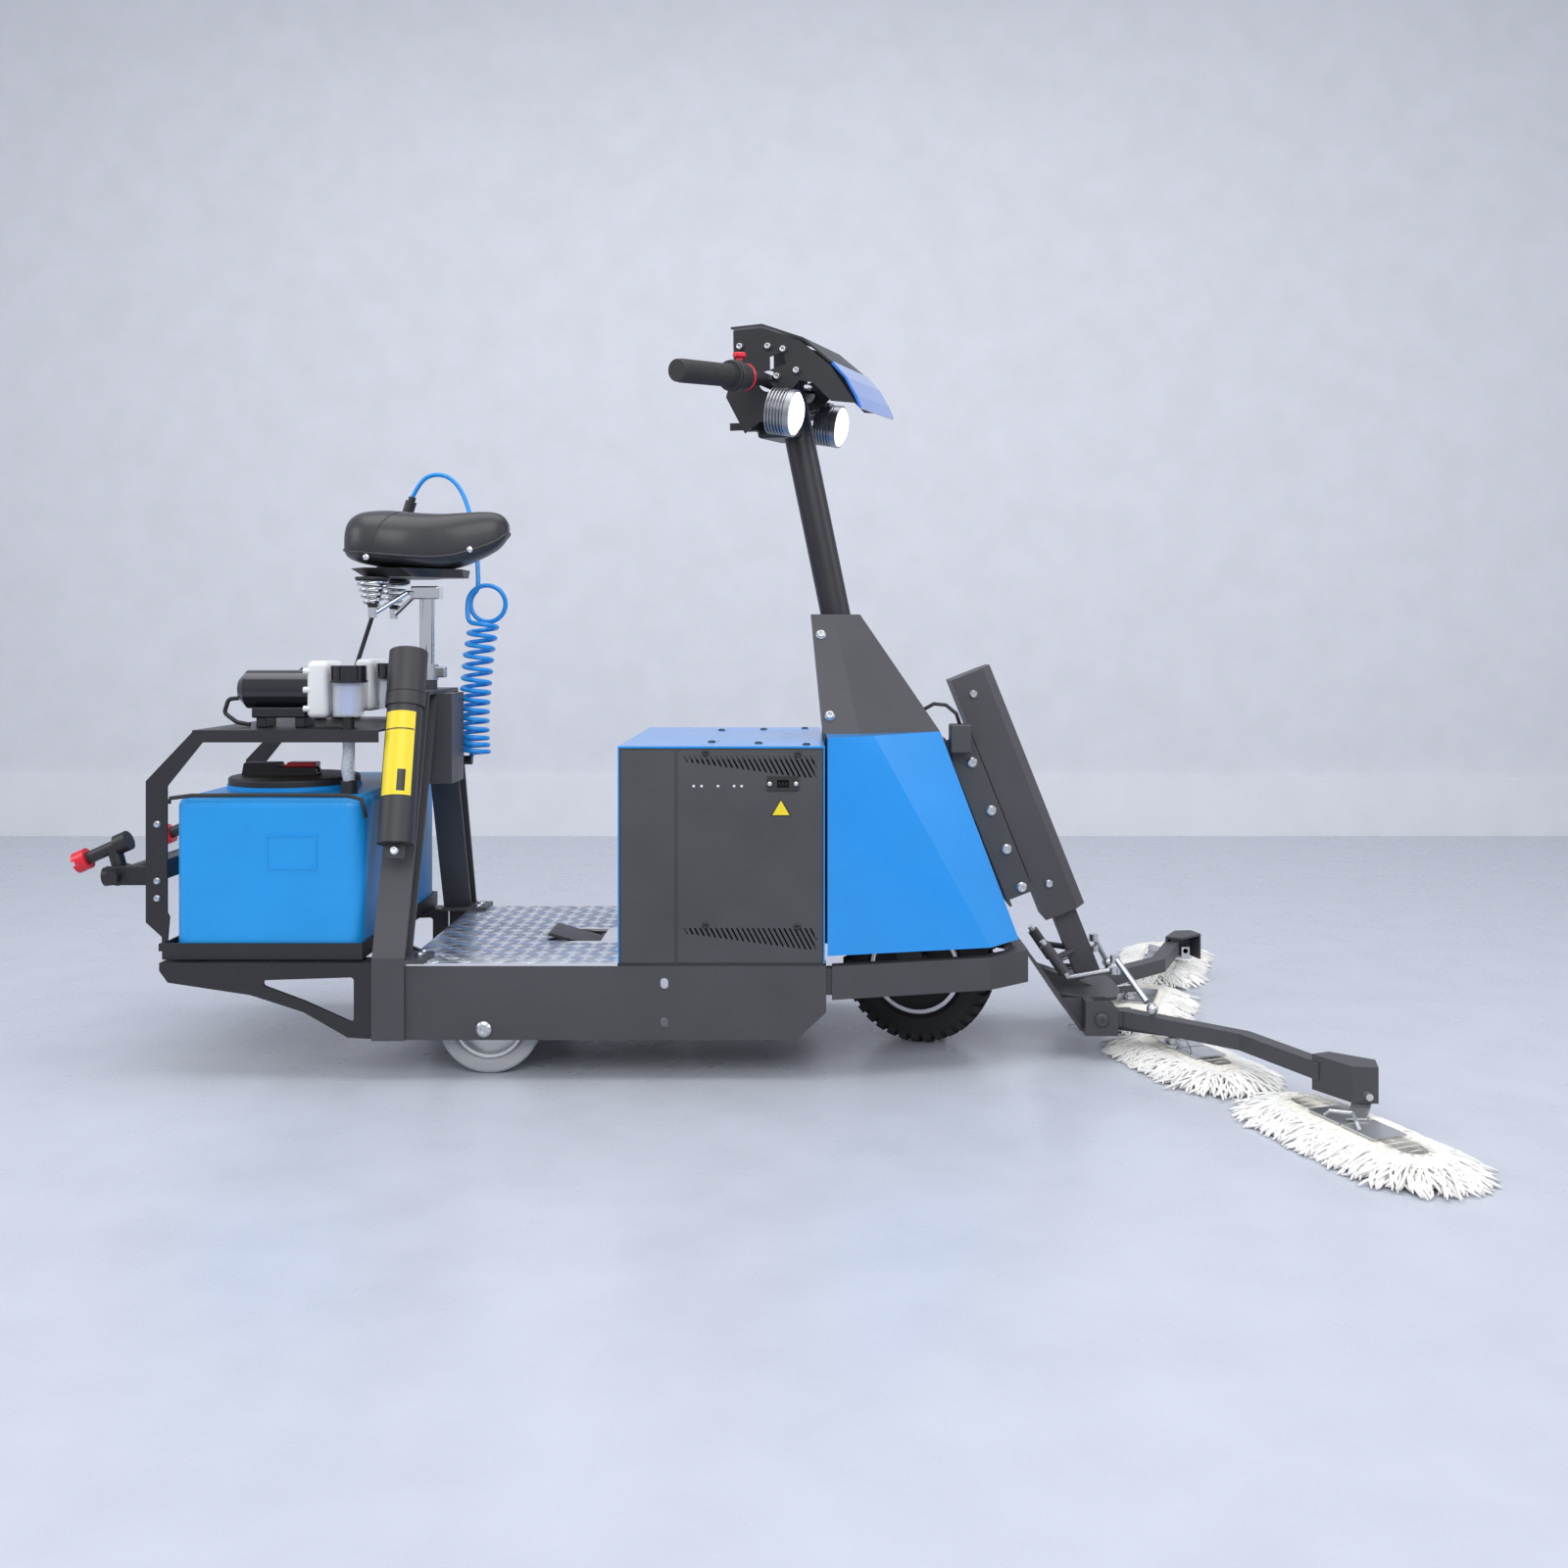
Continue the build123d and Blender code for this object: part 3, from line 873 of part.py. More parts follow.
def square_tube(p, q, z, half, wall, cap=0):
    """A square tube laid flat between two points, with mitred overlap at its ends."""
    a, b = Vector(*p, z), Vector(*q, z)
    frame = Plane(origin=a, z_dir=b - a, x_dir=(0, 0, 1))
    length = (b - a).length
    shape = Pos(0, 0, length / 2) * Box(2 * half, 2 * half, length)
    bore = Pos(0, 0, length / 2) * Box(2 * half - 2 * wall, 2 * half - 2 * wall, length + 1)
    return frame * shape, frame * bore


one, bore_one = square_tube(arm_points[0], arm_points[1], ARM_Z, H, 2.5)
two, bore_two = square_tube(arm_points[1], arm_points[2], ARM_Z, H, 2.5)
mitre = rod((678, -254, ARM_Z - H), (678, -254, ARM_Z + H), H)
arm = joined(root, one, two, mitre) - bore_two - bore_one
end_top = flat_plate([(728, -398), (756, -386), (806, -426), (796, -462), (762, -458)], 84, 88)
end_side = flat_plate([(728, -398), (731.5, -396), (765.5, -456), (762, -458)], 38, 88)
front_side = flat_plate([(802.5, -424.5), (806, -426), (796, -462), (792.5, -460)], 38, 88)
near_side = flat_plate([(762, -458), (796, -462), (795.5, -458.4), (764, -454.4)], 38, 88)
post = block(738, 752, -410, -396, ARM_Z, 86)
arm = joined(arm, end_top, end_side, near_side, front_side, post)
stud = rod((BALL.X, BALL.Y, ARM_Z + H - 1), (BALL.X, BALL.Y, BALL.Z), 3) + Pos(BALL) * Sphere(5)
arm = arm + stud
pin = rod((PIVOT_X, -PIVOT_Y - 24, ARM_Z), (PIVOT_X, -PIVOT_Y + 22, ARM_Z), 6)
arm = arm + pin + bolt((PIVOT_X, -PIVOT_Y - 18.4, ARM_Z), (0, -1, 0), 11, 7)
TILT_PIN = (780, 50)
arm = arm - rod((TILT_PIN[0], -500, TILT_PIN[1]), (TILT_PIN[0], -420, TILT_PIN[1]), 5 + FIT)
save("arm_right", arm)
save("arm_left", other_side(arm))

ROW = radians(MOP_ANGLE)
ALONG = Vector(cos(ROW), -sin(ROW), 0)
ACROSS = Vector(sin(ROW), cos(ROW), 0)


def on_row(along, across, z=0):
    return Vector(MOP_CORNER_X, 0, z) + ALONG * along + ACROSS * across


def mop_pad(start, end):
    """A flat mop with round ends, lying along the row."""
    middle = on_row((start + end) / 2, MOP_WIDTH / 2)
    shape = extrude(SlotOverall(end - start, MOP_WIDTH), MOP_HEIGHT)
    pad = Plane(origin=middle, x_dir=ALONG, z_dir=(0, 0, 1)) * shape
    return chamfer(pad.edges().group_by(Axis.Z)[-1], 9)


def mop_frame(start, end, z):
    """The flat folding frame that the mop is stretched over: two plates with a hinge gap."""
    middle = on_row((start + end) / 2, MOP_WIDTH / 2, z)
    place = Plane(origin=middle, x_dir=ALONG, z_dir=(0, 0, 1))
    half = (end - start) / 2
    plate = Pos(0, 0, 1.5) * Box(2 * half, 62, 3)
    return place * plate


INNER = (46, 366)
OUTER = (386, 764)
FRAME_Z = MOP_HEIGHT + 0.2
inner_pad = mop_pad(*INNER)
inner_frame = mop_frame(INNER[0] + 56, INNER[1] - 56, FRAME_Z)
inner_lug = rod((598, -154, FRAME_Z), (598, -154, 43.5), 9)
outer_pad = mop_pad(*OUTER)
outer_frame = mop_frame(OUTER[0] + 60, OUTER[1] - 60, FRAME_Z)
pad_middle = on_row((OUTER[0] + OUTER[1]) / 2, MOP_WIDTH / 2, FRAME_Z)
neck_plate = flat_plate([(TILT_PIN[0] - 12, -452), (TILT_PIN[0] + 8, -452), (TILT_PIN[0] + 8, -428),
                         (TILT_PIN[0] - 12, -428)], FRAME_Z, 36)
reach_bar = flat_plate([(pad_middle.X - 16, pad_middle.Y), (pad_middle.X + 16, pad_middle.Y), (TILT_PIN[0] + 8, -428),
                        (TILT_PIN[0] - 12, -428)], FRAME_Z, FRAME_Z + 4)
lug = block(TILT_PIN[0] - 8, TILT_PIN[0] + 8, -450, -442, FRAME_Z, 58)
tilt_pin = rod((TILT_PIN[0], -472, TILT_PIN[1]), (TILT_PIN[0], -442, TILT_PIN[1]), 5)
outer_frame = joined(outer_frame, reach_bar, neck_plate, lug, tilt_pin)
for name, turn in (("right", lambda s: s), ("left", other_side)):
    save(f"inner_mop_{name}", turn(inner_pad), turn(inner_frame + inner_lug))
    save(f"outer_mop_{name}", turn(outer_pad), turn(outer_frame))

# ---------------------------------------------------------------- bolts that hold the body together
bolts = [rear_axle, collar]
for up in BOLTS_UP:
    at = on_lift(up, -54, -46)
    bolts += both(bolt(tuple(at), (0, -1, 0), 9, 6))
for up, out in ((55, -9), (395, -9)):
    bolts += both(bolt(tuple(on_lift(up, out, -COVER_Y)), (0, -1, 0), 7, 5))
for z in (272, 299, 387):
    bolts += both(bolt((-992, -FRAME_HALF, z), (0, -1, 0), 5.5, 4))
tab_out = Vector(0, -1, 0.35).normalized()
bolts.append(bolt(tuple(tab + tab_out * 2.1), tuple(tab_out), 7, 5))
for x, y in ((HOOP_FRONT + 15, -212), (HOOP_FRONT + 15, -190)):
    bolts += both(bolt((x, y, DECK_Z + 6), (0, 0, 1), 7, 5))
save("frame_bolts", *bolts)
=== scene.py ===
import bpy
import random
from math import atan, cos, pi, radians, sin, tau
from mathutils import Matrix, Vector


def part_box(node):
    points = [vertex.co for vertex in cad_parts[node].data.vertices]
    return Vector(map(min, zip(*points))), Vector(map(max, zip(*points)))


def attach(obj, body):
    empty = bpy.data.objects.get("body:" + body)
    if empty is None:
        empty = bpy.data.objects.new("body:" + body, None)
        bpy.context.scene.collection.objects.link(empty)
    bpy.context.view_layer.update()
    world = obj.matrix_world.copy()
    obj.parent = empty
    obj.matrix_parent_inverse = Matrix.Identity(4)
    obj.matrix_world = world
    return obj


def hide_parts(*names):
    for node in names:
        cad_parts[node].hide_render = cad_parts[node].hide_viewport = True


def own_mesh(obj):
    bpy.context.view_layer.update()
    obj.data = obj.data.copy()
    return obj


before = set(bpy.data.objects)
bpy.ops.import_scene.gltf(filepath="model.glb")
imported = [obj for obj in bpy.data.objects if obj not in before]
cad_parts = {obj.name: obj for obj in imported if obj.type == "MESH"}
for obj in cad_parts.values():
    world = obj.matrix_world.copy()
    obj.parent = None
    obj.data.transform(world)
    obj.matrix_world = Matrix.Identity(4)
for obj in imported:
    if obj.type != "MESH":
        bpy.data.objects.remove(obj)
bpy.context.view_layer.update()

# Camera. It stands level on the machine's right, 2.4 m from the middle plane and 0.67 m up,
# beside the front of the battery box.
MIDDLE = 140.95        # mm from the box's front face to the middle of the machine's length
CAMERA_PLACE = (0, -2400, 670)
CAMERA_LENS, CAMERA_SHIFT = 32.53, (-0.0081, -0.0906)


def at(x, y, z):
    """A point given in millimetres from the box's front face, as a vector in the row frame."""
    return Vector(((x + MIDDLE) / 1000, y / 1000, z / 1000))


camera_data = bpy.data.cameras.new("camera")
camera_data.lens = CAMERA_LENS
camera_data.sensor_width = 36
camera_data.shift_x, camera_data.shift_y = CAMERA_SHIFT
camera_data.clip_end = 50
camera = bpy.data.objects.new("camera", camera_data)
camera.location = at(*CAMERA_PLACE)
camera.rotation_euler = (radians(90), 0, 0)
bpy.context.scene.collection.objects.link(camera)
bpy.context.scene.camera = camera
bpy.context.scene.view_settings.view_transform = "Standard"

# Spray hose. A blue polyurethane hose runs from the gun over the saddle, makes one loose loop,
# then hangs as a tight coil down to the fitting beside the seat hoop.
HOSE_D, HOSE_LONG = 0.008, 2.68                     # m
LEAD = [(-700, 182, 934), (-686, 182, 963), (-662, 181, 976), (-634, 180, 972), (-612, 177, 950),
        (-597, 170, 918), (-584, 156, 878), (-573, 136, 836), (-565, 112, 797), (-561, 92, 764)]
LOOP_CENTRE, LOOP_R = (-541, 737), 32
LOOP_POINTS, LOOP_START, LOOP_STEP = 25, 126.5, 17.2   # how many points, first angle and step
LOOP_Y = 92            # the loop's first point, and each next one stands 1 mm further in
LOOP_END = [(-573, 66, 722), (-571, 62, 710)]
COIL_AXIS = [(-546, 75, 704), (-555, 75, 652), (-560, 76, 597), (-564, 77, 551), (-565, 79, 507),
             (-563, 81, 474)]
COIL_R, COIL_TURNS, COIL_START = 24, 13.75, pi + 0.5
COIL_POINTS = 16       # points a turn
HOSE_FOOT = [(-574, 104, 466), (-582, 99, 462)]


def between(points, share):
    """A point on a row of points, at a share of the way from its first to its last."""
    place = share * (len(points) - 1)
    i = min(int(place), len(points) - 2)
    return Vector(points[i]).lerp(Vector(points[i + 1]), place - i)


hose_points = [Vector(p) for p in LEAD[:-1]]
for i in range(LOOP_POINTS):
    angle = radians(LOOP_START + i * LOOP_STEP)
    hose_points.append(Vector((LOOP_CENTRE[0] + LOOP_R * cos(angle), LOOP_Y - i,
                               LOOP_CENTRE[1] + LOOP_R * sin(angle))))
hose_points += [Vector(p) for p in LOOP_END]
steps = int(COIL_TURNS * COIL_POINTS)
for i in range(steps + 1):
    turn = COIL_START + i / COIL_POINTS * tau
    middle = between(COIL_AXIS, i / steps)
    hose_points.append(middle + Vector((COIL_R * cos(turn), COIL_R * sin(turn), 0)))
hose_points += [Vector(p) for p in HOSE_FOOT]
hose_curve = bpy.data.curves.new("spray_hose", "CURVE")
hose_curve.dimensions = "3D"
hose_curve.bevel_depth = 1     # m, times each point's radius
hose_curve.bevel_resolution = 4
hose_curve.resolution_u = 4
hose_curve.use_fill_caps = True
hose_spline = hose_curve.splines.new("NURBS")
hose_spline.points.add(len(hose_points) - 1)
for spline_point, p in zip(hose_spline.points, hose_points):
    spline_point.co = (*at(*p), 1)
    spline_point.radius = HOSE_D / 2
hose_spline.order_u = 3
hose_spline.use_endpoint_u = True
spray_hose = bpy.data.objects.new("spray_hose", hose_curve)
bpy.context.scene.collection.objects.link(spray_hose)
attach(spray_hose, "chassis")
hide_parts("hose_lead", "hose_coil")


def wear_group():
    """Fine surface grain, a slow change of tone and a little dust, shared by most materials."""
    group = bpy.data.node_groups.new("surface_wear", "ShaderNodeTree")
    face = group.interface
    face.new_socket("Color", in_out="INPUT", socket_type="NodeSocketColor")
    for socket_name, value in (("Roughness", 0.5), ("Grain Scale", 900), ("Grain", 0.1), ("Tone", 0.08)):
        socket = face.new_socket(socket_name, in_out="INPUT", socket_type="NodeSocketFloat")
        socket.default_value = value
    face.new_socket("Color", in_out="OUTPUT", socket_type="NodeSocketColor")
    face.new_socket("Roughness", in_out="OUTPUT", socket_type="NodeSocketFloat")
    face.new_socket("Normal", in_out="OUTPUT", socket_type="NodeSocketVector")
    nodes, links = group.nodes, group.links
    inside, outside = nodes.new("NodeGroupInput"), nodes.new("NodeGroupOutput")
    place = nodes.new("ShaderNodeTexCoord")
    grain, patches = nodes.new("ShaderNodeTexNoise"), nodes.new("ShaderNodeTexNoise")
    patches.inputs["Scale"].default_value = 9
    patches.inputs["Detail"].default_value = 6
    bump = nodes.new("ShaderNodeBump")
    bump.inputs["Distance"].default_value = 0.0004
    links.new(place.outputs["Object"], grain.inputs["Vector"])
    links.new(place.outputs["Object"], patches.inputs["Vector"])
    links.new(inside.outputs["Grain Scale"], grain.inputs["Scale"])
    links.new(inside.outputs["Grain"], bump.inputs["Strength"])
    links.new(grain.outputs["Fac"], bump.inputs["Height"])
    spread = nodes.new("ShaderNodeMapRange")
    spread.inputs["From Min"].default_value = 0.3
    spread.inputs["From Max"].default_value = 0.7
    spread.inputs["To Min"].default_value = -1
    links.new(patches.outputs["Fac"], spread.inputs["Value"])
    change = nodes.new("ShaderNodeMath")
    change.operation = "MULTIPLY"
    links.new(spread.outputs["Result"], change.inputs[0])
    links.new(inside.outputs["Tone"], change.inputs[1])
    lift = nodes.new("ShaderNodeMath")
    lift.operation = "ADD"
    lift.inputs[1].default_value = 1
    links.new(change.outputs[0], lift.inputs[0])
    scaled = nodes.new("ShaderNodeVectorMath")
    scaled.operation = "SCALE"
    links.new(inside.outputs["Color"], scaled.inputs[0])
    links.new(lift.outputs[0], scaled.inputs["Scale"])
    rougher = nodes.new("ShaderNodeMath")
    rougher.operation = "MULTIPLY_ADD"
    rougher.inputs[1].default_value = 0.6
    links.new(change.outputs[0], rougher.inputs[0])
    links.new(inside.outputs["Roughness"], rougher.inputs[2])
    links.new(scaled.outputs[0], outside.inputs["Color"])
    links.new(rougher.outputs[0], outside.inputs["Roughness"])
    links.new(bump.outputs["Normal"], outside.inputs["Normal"])
    return group


surface_wear = wear_group()


def material(name, color, roughness=0.5, metallic=0.0, grain=0.1, grain_scale=900, tone=0.06, coat=0.0):
    """A procedural material whose colour, roughness and normal come through the shared wear group."""
    made = bpy.data.materials.new(name)
    made.use_nodes = True
    nodes, links = made.node_tree.nodes, made.node_tree.links
    shader = nodes["Principled BSDF"]
    wear = nodes.new("ShaderNodeGroup")
    wear.node_tree = surface_wear
    wear.inputs["Color"].default_value = (*color, 1)
    wear.inputs["Roughness"].default_value = roughness
    wear.inputs["Grain"].default_value = grain
    wear.inputs["Grain Scale"].default_value = grain_scale
    wear.inputs["Tone"].default_value = tone
    links.new(wear.outputs["Color"], shader.inputs["Base Color"])
    links.new(wear.outputs["Roughness"], shader.inputs["Roughness"])
    links.new(wear.outputs["Normal"], shader.inputs["Normal"])
    shader.inputs["Metallic"].default_value = metallic
    shader.inputs["Coat Weight"].default_value = coat
    made.diffuse_color = (*color, 1)
    return made


def paint(*painted):
    """Gives CAD nodes their material: name, material pairs."""
    for node, made in painted:
        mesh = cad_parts[node].data
        mesh.materials.clear()
        mesh.materials.append(made)


hose_blue = material("hose_blue", (0.008, 0.28, 0.76), 0.28, grain=0.03, tone=0.03)
hose_shader = hose_blue.node_tree.nodes["Principled BSDF"]
hose_shader.inputs["Subsurface Weight"].default_value = 0.15
hose_shader.inputs["Subsurface Radius"].default_value = (0.001, 0.002, 0.004)
hose_curve.materials.append(hose_blue)

# Hall. A polished grey concrete floor meets a pale wall with a low plinth, under large soft lamps.
WALL_Y = 2.52          # m, as all of the hall
WALL_TOP = 6
HALL = 9               # half the hall's length
PLINTH, PLINTH_DEEP = 0.205, 0.03
floor_look = material("hall_floor", (0.50, 0.525, 0.59), 0.28, grain=0.02, grain_scale=40, tone=0.035)
wall_look = material("hall_wall", (0.66, 0.67, 0.72), 0.7, grain=0.05, grain_scale=60, tone=0.03)
plinth_look = material("hall_plinth", (0.72, 0.73, 0.77), 0.5, grain=0.02, tone=0.02)


def one_sided(look):
    """Shows a look only on the side its faces point to, so the hall is open from behind."""
    nodes, links = look.node_tree.nodes, look.node_tree.links
    facing, nothing = nodes.new("ShaderNodeNewGeometry"), nodes.new("ShaderNodeBsdfTransparent")
    either = nodes.new("ShaderNodeMixShader")
    links.new(facing.outputs["Backfacing"], either.inputs[0])
    links.new(nodes["Principled BSDF"].outputs["BSDF"], either.inputs[1])
    links.new(nothing.outputs["BSDF"], either.inputs[2])
    links.new(either.outputs[0], nodes["Material Output"].inputs["Surface"])


one_sided(wall_look)
one_sided(plinth_look)


def add_mesh(name, vertices, faces, *looks, smooth=True):
    """A new object from points in metres."""
    mesh = bpy.data.meshes.new(name)
    mesh.from_pydata([tuple(v) for v in vertices], [], faces)
    mesh.update()
    for look in looks:
        mesh.materials.append(look)
    for polygon in mesh.polygons:
        polygon.use_smooth = smooth
    made = bpy.data.objects.new(name, mesh)
    bpy.context.scene.collection.objects.link(made)
    return made


floor = add_mesh("hall_floor", [(-HALL, -HALL, 0), (HALL, -HALL, 0), (HALL, WALL_Y, 0), (-HALL, WALL_Y, 0)],
                 [(0, 1, 2, 3)], floor_look)
wall = add_mesh("hall_wall", [(-HALL, WALL_Y, PLINTH), (HALL, WALL_Y, PLINTH), (HALL, WALL_Y, WALL_TOP),
                              (-HALL, WALL_Y, WALL_TOP)], [(0, 1, 2, 3)], wall_look)
plinth_y = WALL_Y - PLINTH_DEEP
plinth = add_mesh("hall_plinth", [(-HALL, plinth_y, 0), (HALL, plinth_y, 0), (HALL, plinth_y, PLINTH),
                                  (-HALL, plinth_y, PLINTH), (HALL, WALL_Y, PLINTH), (-HALL, WALL_Y, PLINTH)],
                  [(0, 1, 2, 3), (3, 2, 4, 5)], plinth_look, smooth=False)
world = bpy.data.worlds.new("hall")
bpy.context.scene.world = world
world.use_nodes = True
sky = world.node_tree.nodes["Background"]
sky.inputs["Color"].default_value = (0.80, 0.84, 0.93, 1)
sky.inputs["Strength"].default_value = 0.62
for name, place, tilt, size, power in (("lamp_top", (-0.2, -0.2, 3.2), (0, 0, 0), (3.6, 2.4), 62),
                                       ("lamp_front", (0.4, -3.4, 2.4), (58, 0, 0), (3.4, 1.8), 70),
                                       ("lamp_left", (-3.4, -1.2, 1.9), (60, 0, -66), (1.6, 1.6), 26),
                                       ("lamp_right", (3.6, -0.8, 2.2), (58, 0, 74), (1.6, 1.6), 30)):
    lamp_data = bpy.data.lights.new(name, "AREA")
    lamp_data.shape = "RECTANGLE"
    lamp_data.size, lamp_data.size_y = size
    lamp_data.energy = power
    lamp = bpy.data.objects.new(name, lamp_data)
    lamp.location = place
    lamp.rotation_euler = [radians(a) for a in tilt]
    bpy.context.scene.collection.objects.link(lamp)

# Chassis. Folded and welded steel side plates with a box floor, sprayed fine-textured anthracite.
# Its zinc-plated screws and the rear axle are drawn from the CAD node.
grey_powder = material("grey_powder", (0.055, 0.056, 0.062), 0.46, grain=0.55, grain_scale=1500, tone=0.10)
black_powder = material("black_powder", (0.017, 0.018, 0.021), 0.42, grain=0.35, grain_scale=1500, tone=0.08)
zinc = material("zinc", (0.62, 0.63, 0.65), 0.32, metallic=1.0, grain=0.12, grain_scale=500, tone=0.08)
paint(("chassis_frame", grey_powder), ("frame_bolts", zinc))

# Foot deck. A bright aluminium plate, rolled with groups of five raised bars that alternate
# in direction, screwed over the chassis.
bright_plate = material("tread_plate", (0.80, 0.81, 0.83), 0.30, metallic=1.0, grain=0.10,
                        grain_scale=300, tone=0.06)
BAR_LONG, BAR_WIDE, BAR_HIGH, BAR_PITCH, GROUP_PITCH = 17, 1.7, 0.8, 4.6, 24.5
BAR_TAPER, BAR_CROWN = 0.72, 0.2                    # a bar's top against its foot, and its extra height
DECK_TOP = 180.1
PEDAL_HOLE = ((-385, -270), (-90, 30))              # no bars here, in x and y
HOOP_FRONT, HOOP_INSIDE = -570, 150                 # nor behind and outside these, under the hoop's feet


def box_shape(centre, along, across, up):
    """Eight corners and six faces of a block from its centre and its three half edges."""
    centre, along, across, up = Vector(centre), Vector(along), Vector(across), Vector(up)
    points = [centre + along * i + across * j + up * k for i in (-1, 1) for j in (-1, 1) for k in (-1, 1)]
    return points, [(0, 1, 3, 2), (4, 6, 7, 5), (0, 4, 5, 1), (2, 3, 7, 6), (0, 2, 6, 4), (1, 5, 7, 3)]


def gather(shapes):
    """One list of points and faces from several shapes."""
    points, faces = [], []
    for shape_points, shape_faces in shapes:
        first = len(points)
        points += shape_points
        faces += [tuple(i + first for i in face) for face in shape_faces]
    return points, faces


deck_low, deck_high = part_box("footplate")
deck_bars = []
columns = int((deck_high.x - deck_low.x) * 1000 / GROUP_PITCH)
rows = int((deck_high.y - deck_low.y) * 1000 / GROUP_PITCH)
for i in range(columns):
    for j in range(rows):
        x = deck_low.x * 1000 - MIDDLE + (i + 0.6) * GROUP_PITCH
        y = deck_low.y * 1000 + (j + 0.6) * GROUP_PITCH
        on_pedal = PEDAL_HOLE[0][0] < x < PEDAL_HOLE[0][1] and PEDAL_HOLE[1][0] < y < PEDAL_HOLE[1][1]
        under_hoop = x < HOOP_FRONT and abs(y) > HOOP_INSIDE
        if on_pedal or under_hoop:
            continue
        slope = radians(45 if (i + j) % 2 else -45)
        run, step = Vector((cos(slope), sin(slope), 0)), Vector((-sin(slope), cos(slope), 0))
        for k in range(-2, 3):
            middle = Vector((x, y, DECK_TOP)) + step * k * BAR_PITCH
            points, faces = box_shape(middle, run * BAR_LONG / 2, step * BAR_WIDE / 2, (0, 0, BAR_HIGH))
            crown = Vector((0, 0, BAR_CROWN))
            top = [p if p.z < middle.z else middle + (p - middle) * BAR_TAPER + crown for p in points]
            deck_bars.append(([at(*p) for p in top], faces))
tread_bars = add_mesh("tread_bars", *gather(deck_bars), bright_plate, smooth=False)
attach(tread_bars, "chassis")
paint(("footplate", bright_plate), ("foot_pedal", black_powder))

# Battery box. A folded steel lid and frame in azure powder coat, with anthracite side panels
# held by black round-headed screws. Batteries, charger and controller stand inside.
blue_powder = material("blue_powder", (0.008, 0.27, 0.74), 0.24, grain=0.10, grain_scale=700,
                       tone=0.04, coat=0.35)
black_plastic = material("black_plastic", (0.018, 0.018, 0.020), 0.42, grain=0.2, grain_scale=1100, tone=0.06)
paint(("box_shell", blue_powder), ("side_panels", grey_powder), ("box_contents", black_plastic),
      ("charging_inlet", black_plastic))


def lathe(start, end, profile, sides=24):
    """A turned shape: profile is pairs of distance along start to end, and radius, in millimetres."""
    start, end = Vector(start), Vector(end)
    axis = (end - start).normalized()
    side = axis.cross(Vector((0, 0, 1)) if abs(axis.z) < 0.9 else Vector((1, 0, 0))).normalized()
    other = axis.cross(side)
    points, faces = [], []
    for distance, radius in profile:
        for i in range(sides):
            a = tau * i / sides
            points.append(at(*(start + axis * distance + (side * cos(a) + other * sin(a)) * radius)))
    for j in range(len(profile) - 1):
        for i in range(sides):
            a, b = j * sides + i, j * sides + (i + 1) % sides
            faces.append((a, b, b + sides, a + sides))
    faces.append(tuple(range(sides - 1, -1, -1)))
    faces.append(tuple(range((len(profile) - 1) * sides, len(profile) * sides)))
    return points, faces


def round_screw(x, y, z, out, radius=5.5, high=2.6):
    """A button-head screw with a hexagon socket."""
    place = Vector((x, y, z))
    profile = [(0, radius), (high * 0.45, radius * 0.96), (high * 0.85, radius * 0.7),
               (high, radius * 0.45), (high * 0.3, radius * 0.4)]
    return lathe(place, place + Vector(out), profile, 20)


BOX_SIDE, BOX_TOP = 240, 511
PANEL_SCREWS = ((-139, 501), (1.5, 499), (-139, 238), (0.5, 236))          # x and z on each side panel
TOP_SCREWS = ((-135, 150), (-60, 175), (15, 205))                          # x and y on each half of the top
screws = []
for x, z in PANEL_SCREWS:
    screws += [round_screw(x, -BOX_SIDE, z, (0, -1, 0)), round_screw(x, BOX_SIDE, z, (0, 1, 0))]
for side in (-1, 1):
    for x, y in TOP_SCREWS:
        screws.append(round_screw(x, y * side, BOX_TOP, (0, 0, 1), 6.5))
panel_screws = add_mesh("panel_screws", *gather(screws), black_plastic)
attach(panel_screws, "chassis")

# Charge lights and warning plate. Five small lights show beside the inlet, and a yellow
# plate with a plain triangle is stuck below it.
light_look = material("charge_light", (0.60, 0.62, 0.66), 0.2, grain=0.0)
LIGHT_XS, LIGHT_Z = (-157, -145, -120, -95.5, -84), 450
INLET_SCREW_XS, INLET_Z = (-41, -1), 454
led_shapes = [lathe((x, -238.6, LIGHT_Z), (x, -241, LIGHT_Z), [(0, 2.3), (1.6, 2.3), (2.6, 1.2)], 16)
              for x in LIGHT_XS]
inlet_screws = [lathe((x, -244.4, INLET_Z), (x, -246, INLET_Z), [(0, 3.6), (1.2, 3.4), (1.8, 2.2)], 18)
                for x in INLET_SCREW_XS]
socket_screws = add_mesh("inlet_screws", *gather(inlet_screws), zinc)
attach(socket_screws, "chassis")
charge_lights = add_mesh("charge_lights", *gather(led_shapes), light_look)
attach(charge_lights, "chassis")
label_yellow = material("label_yellow", (0.85, 0.66, 0.02), 0.4, grain=0.02, tone=0.03)
label_black = material("label_black", (0.012, 0.012, 0.012), 0.4, grain=0.02)


def triangle(x, y, z, half, out):
    """A flat triangle standing on its base, facing along -Y or +Y."""
    return [at(x - half, y + out, z), at(x + half, y + out, z), at(x, y + out, z + half * 1.72)], [(0, 1, 2)]


WARNING_X = -24
warning_plate = add_mesh("warning_plate", *triangle(WARNING_X, -BOX_SIDE, 404, 16, -0.25), label_black,
                         smooth=False)
warning_face = add_mesh("warning_face", *triangle(WARNING_X, -BOX_SIDE, 406, 13, -0.45), label_yellow,
                        smooth=False)
for piece in (warning_plate, warning_face):
    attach(piece, "chassis")

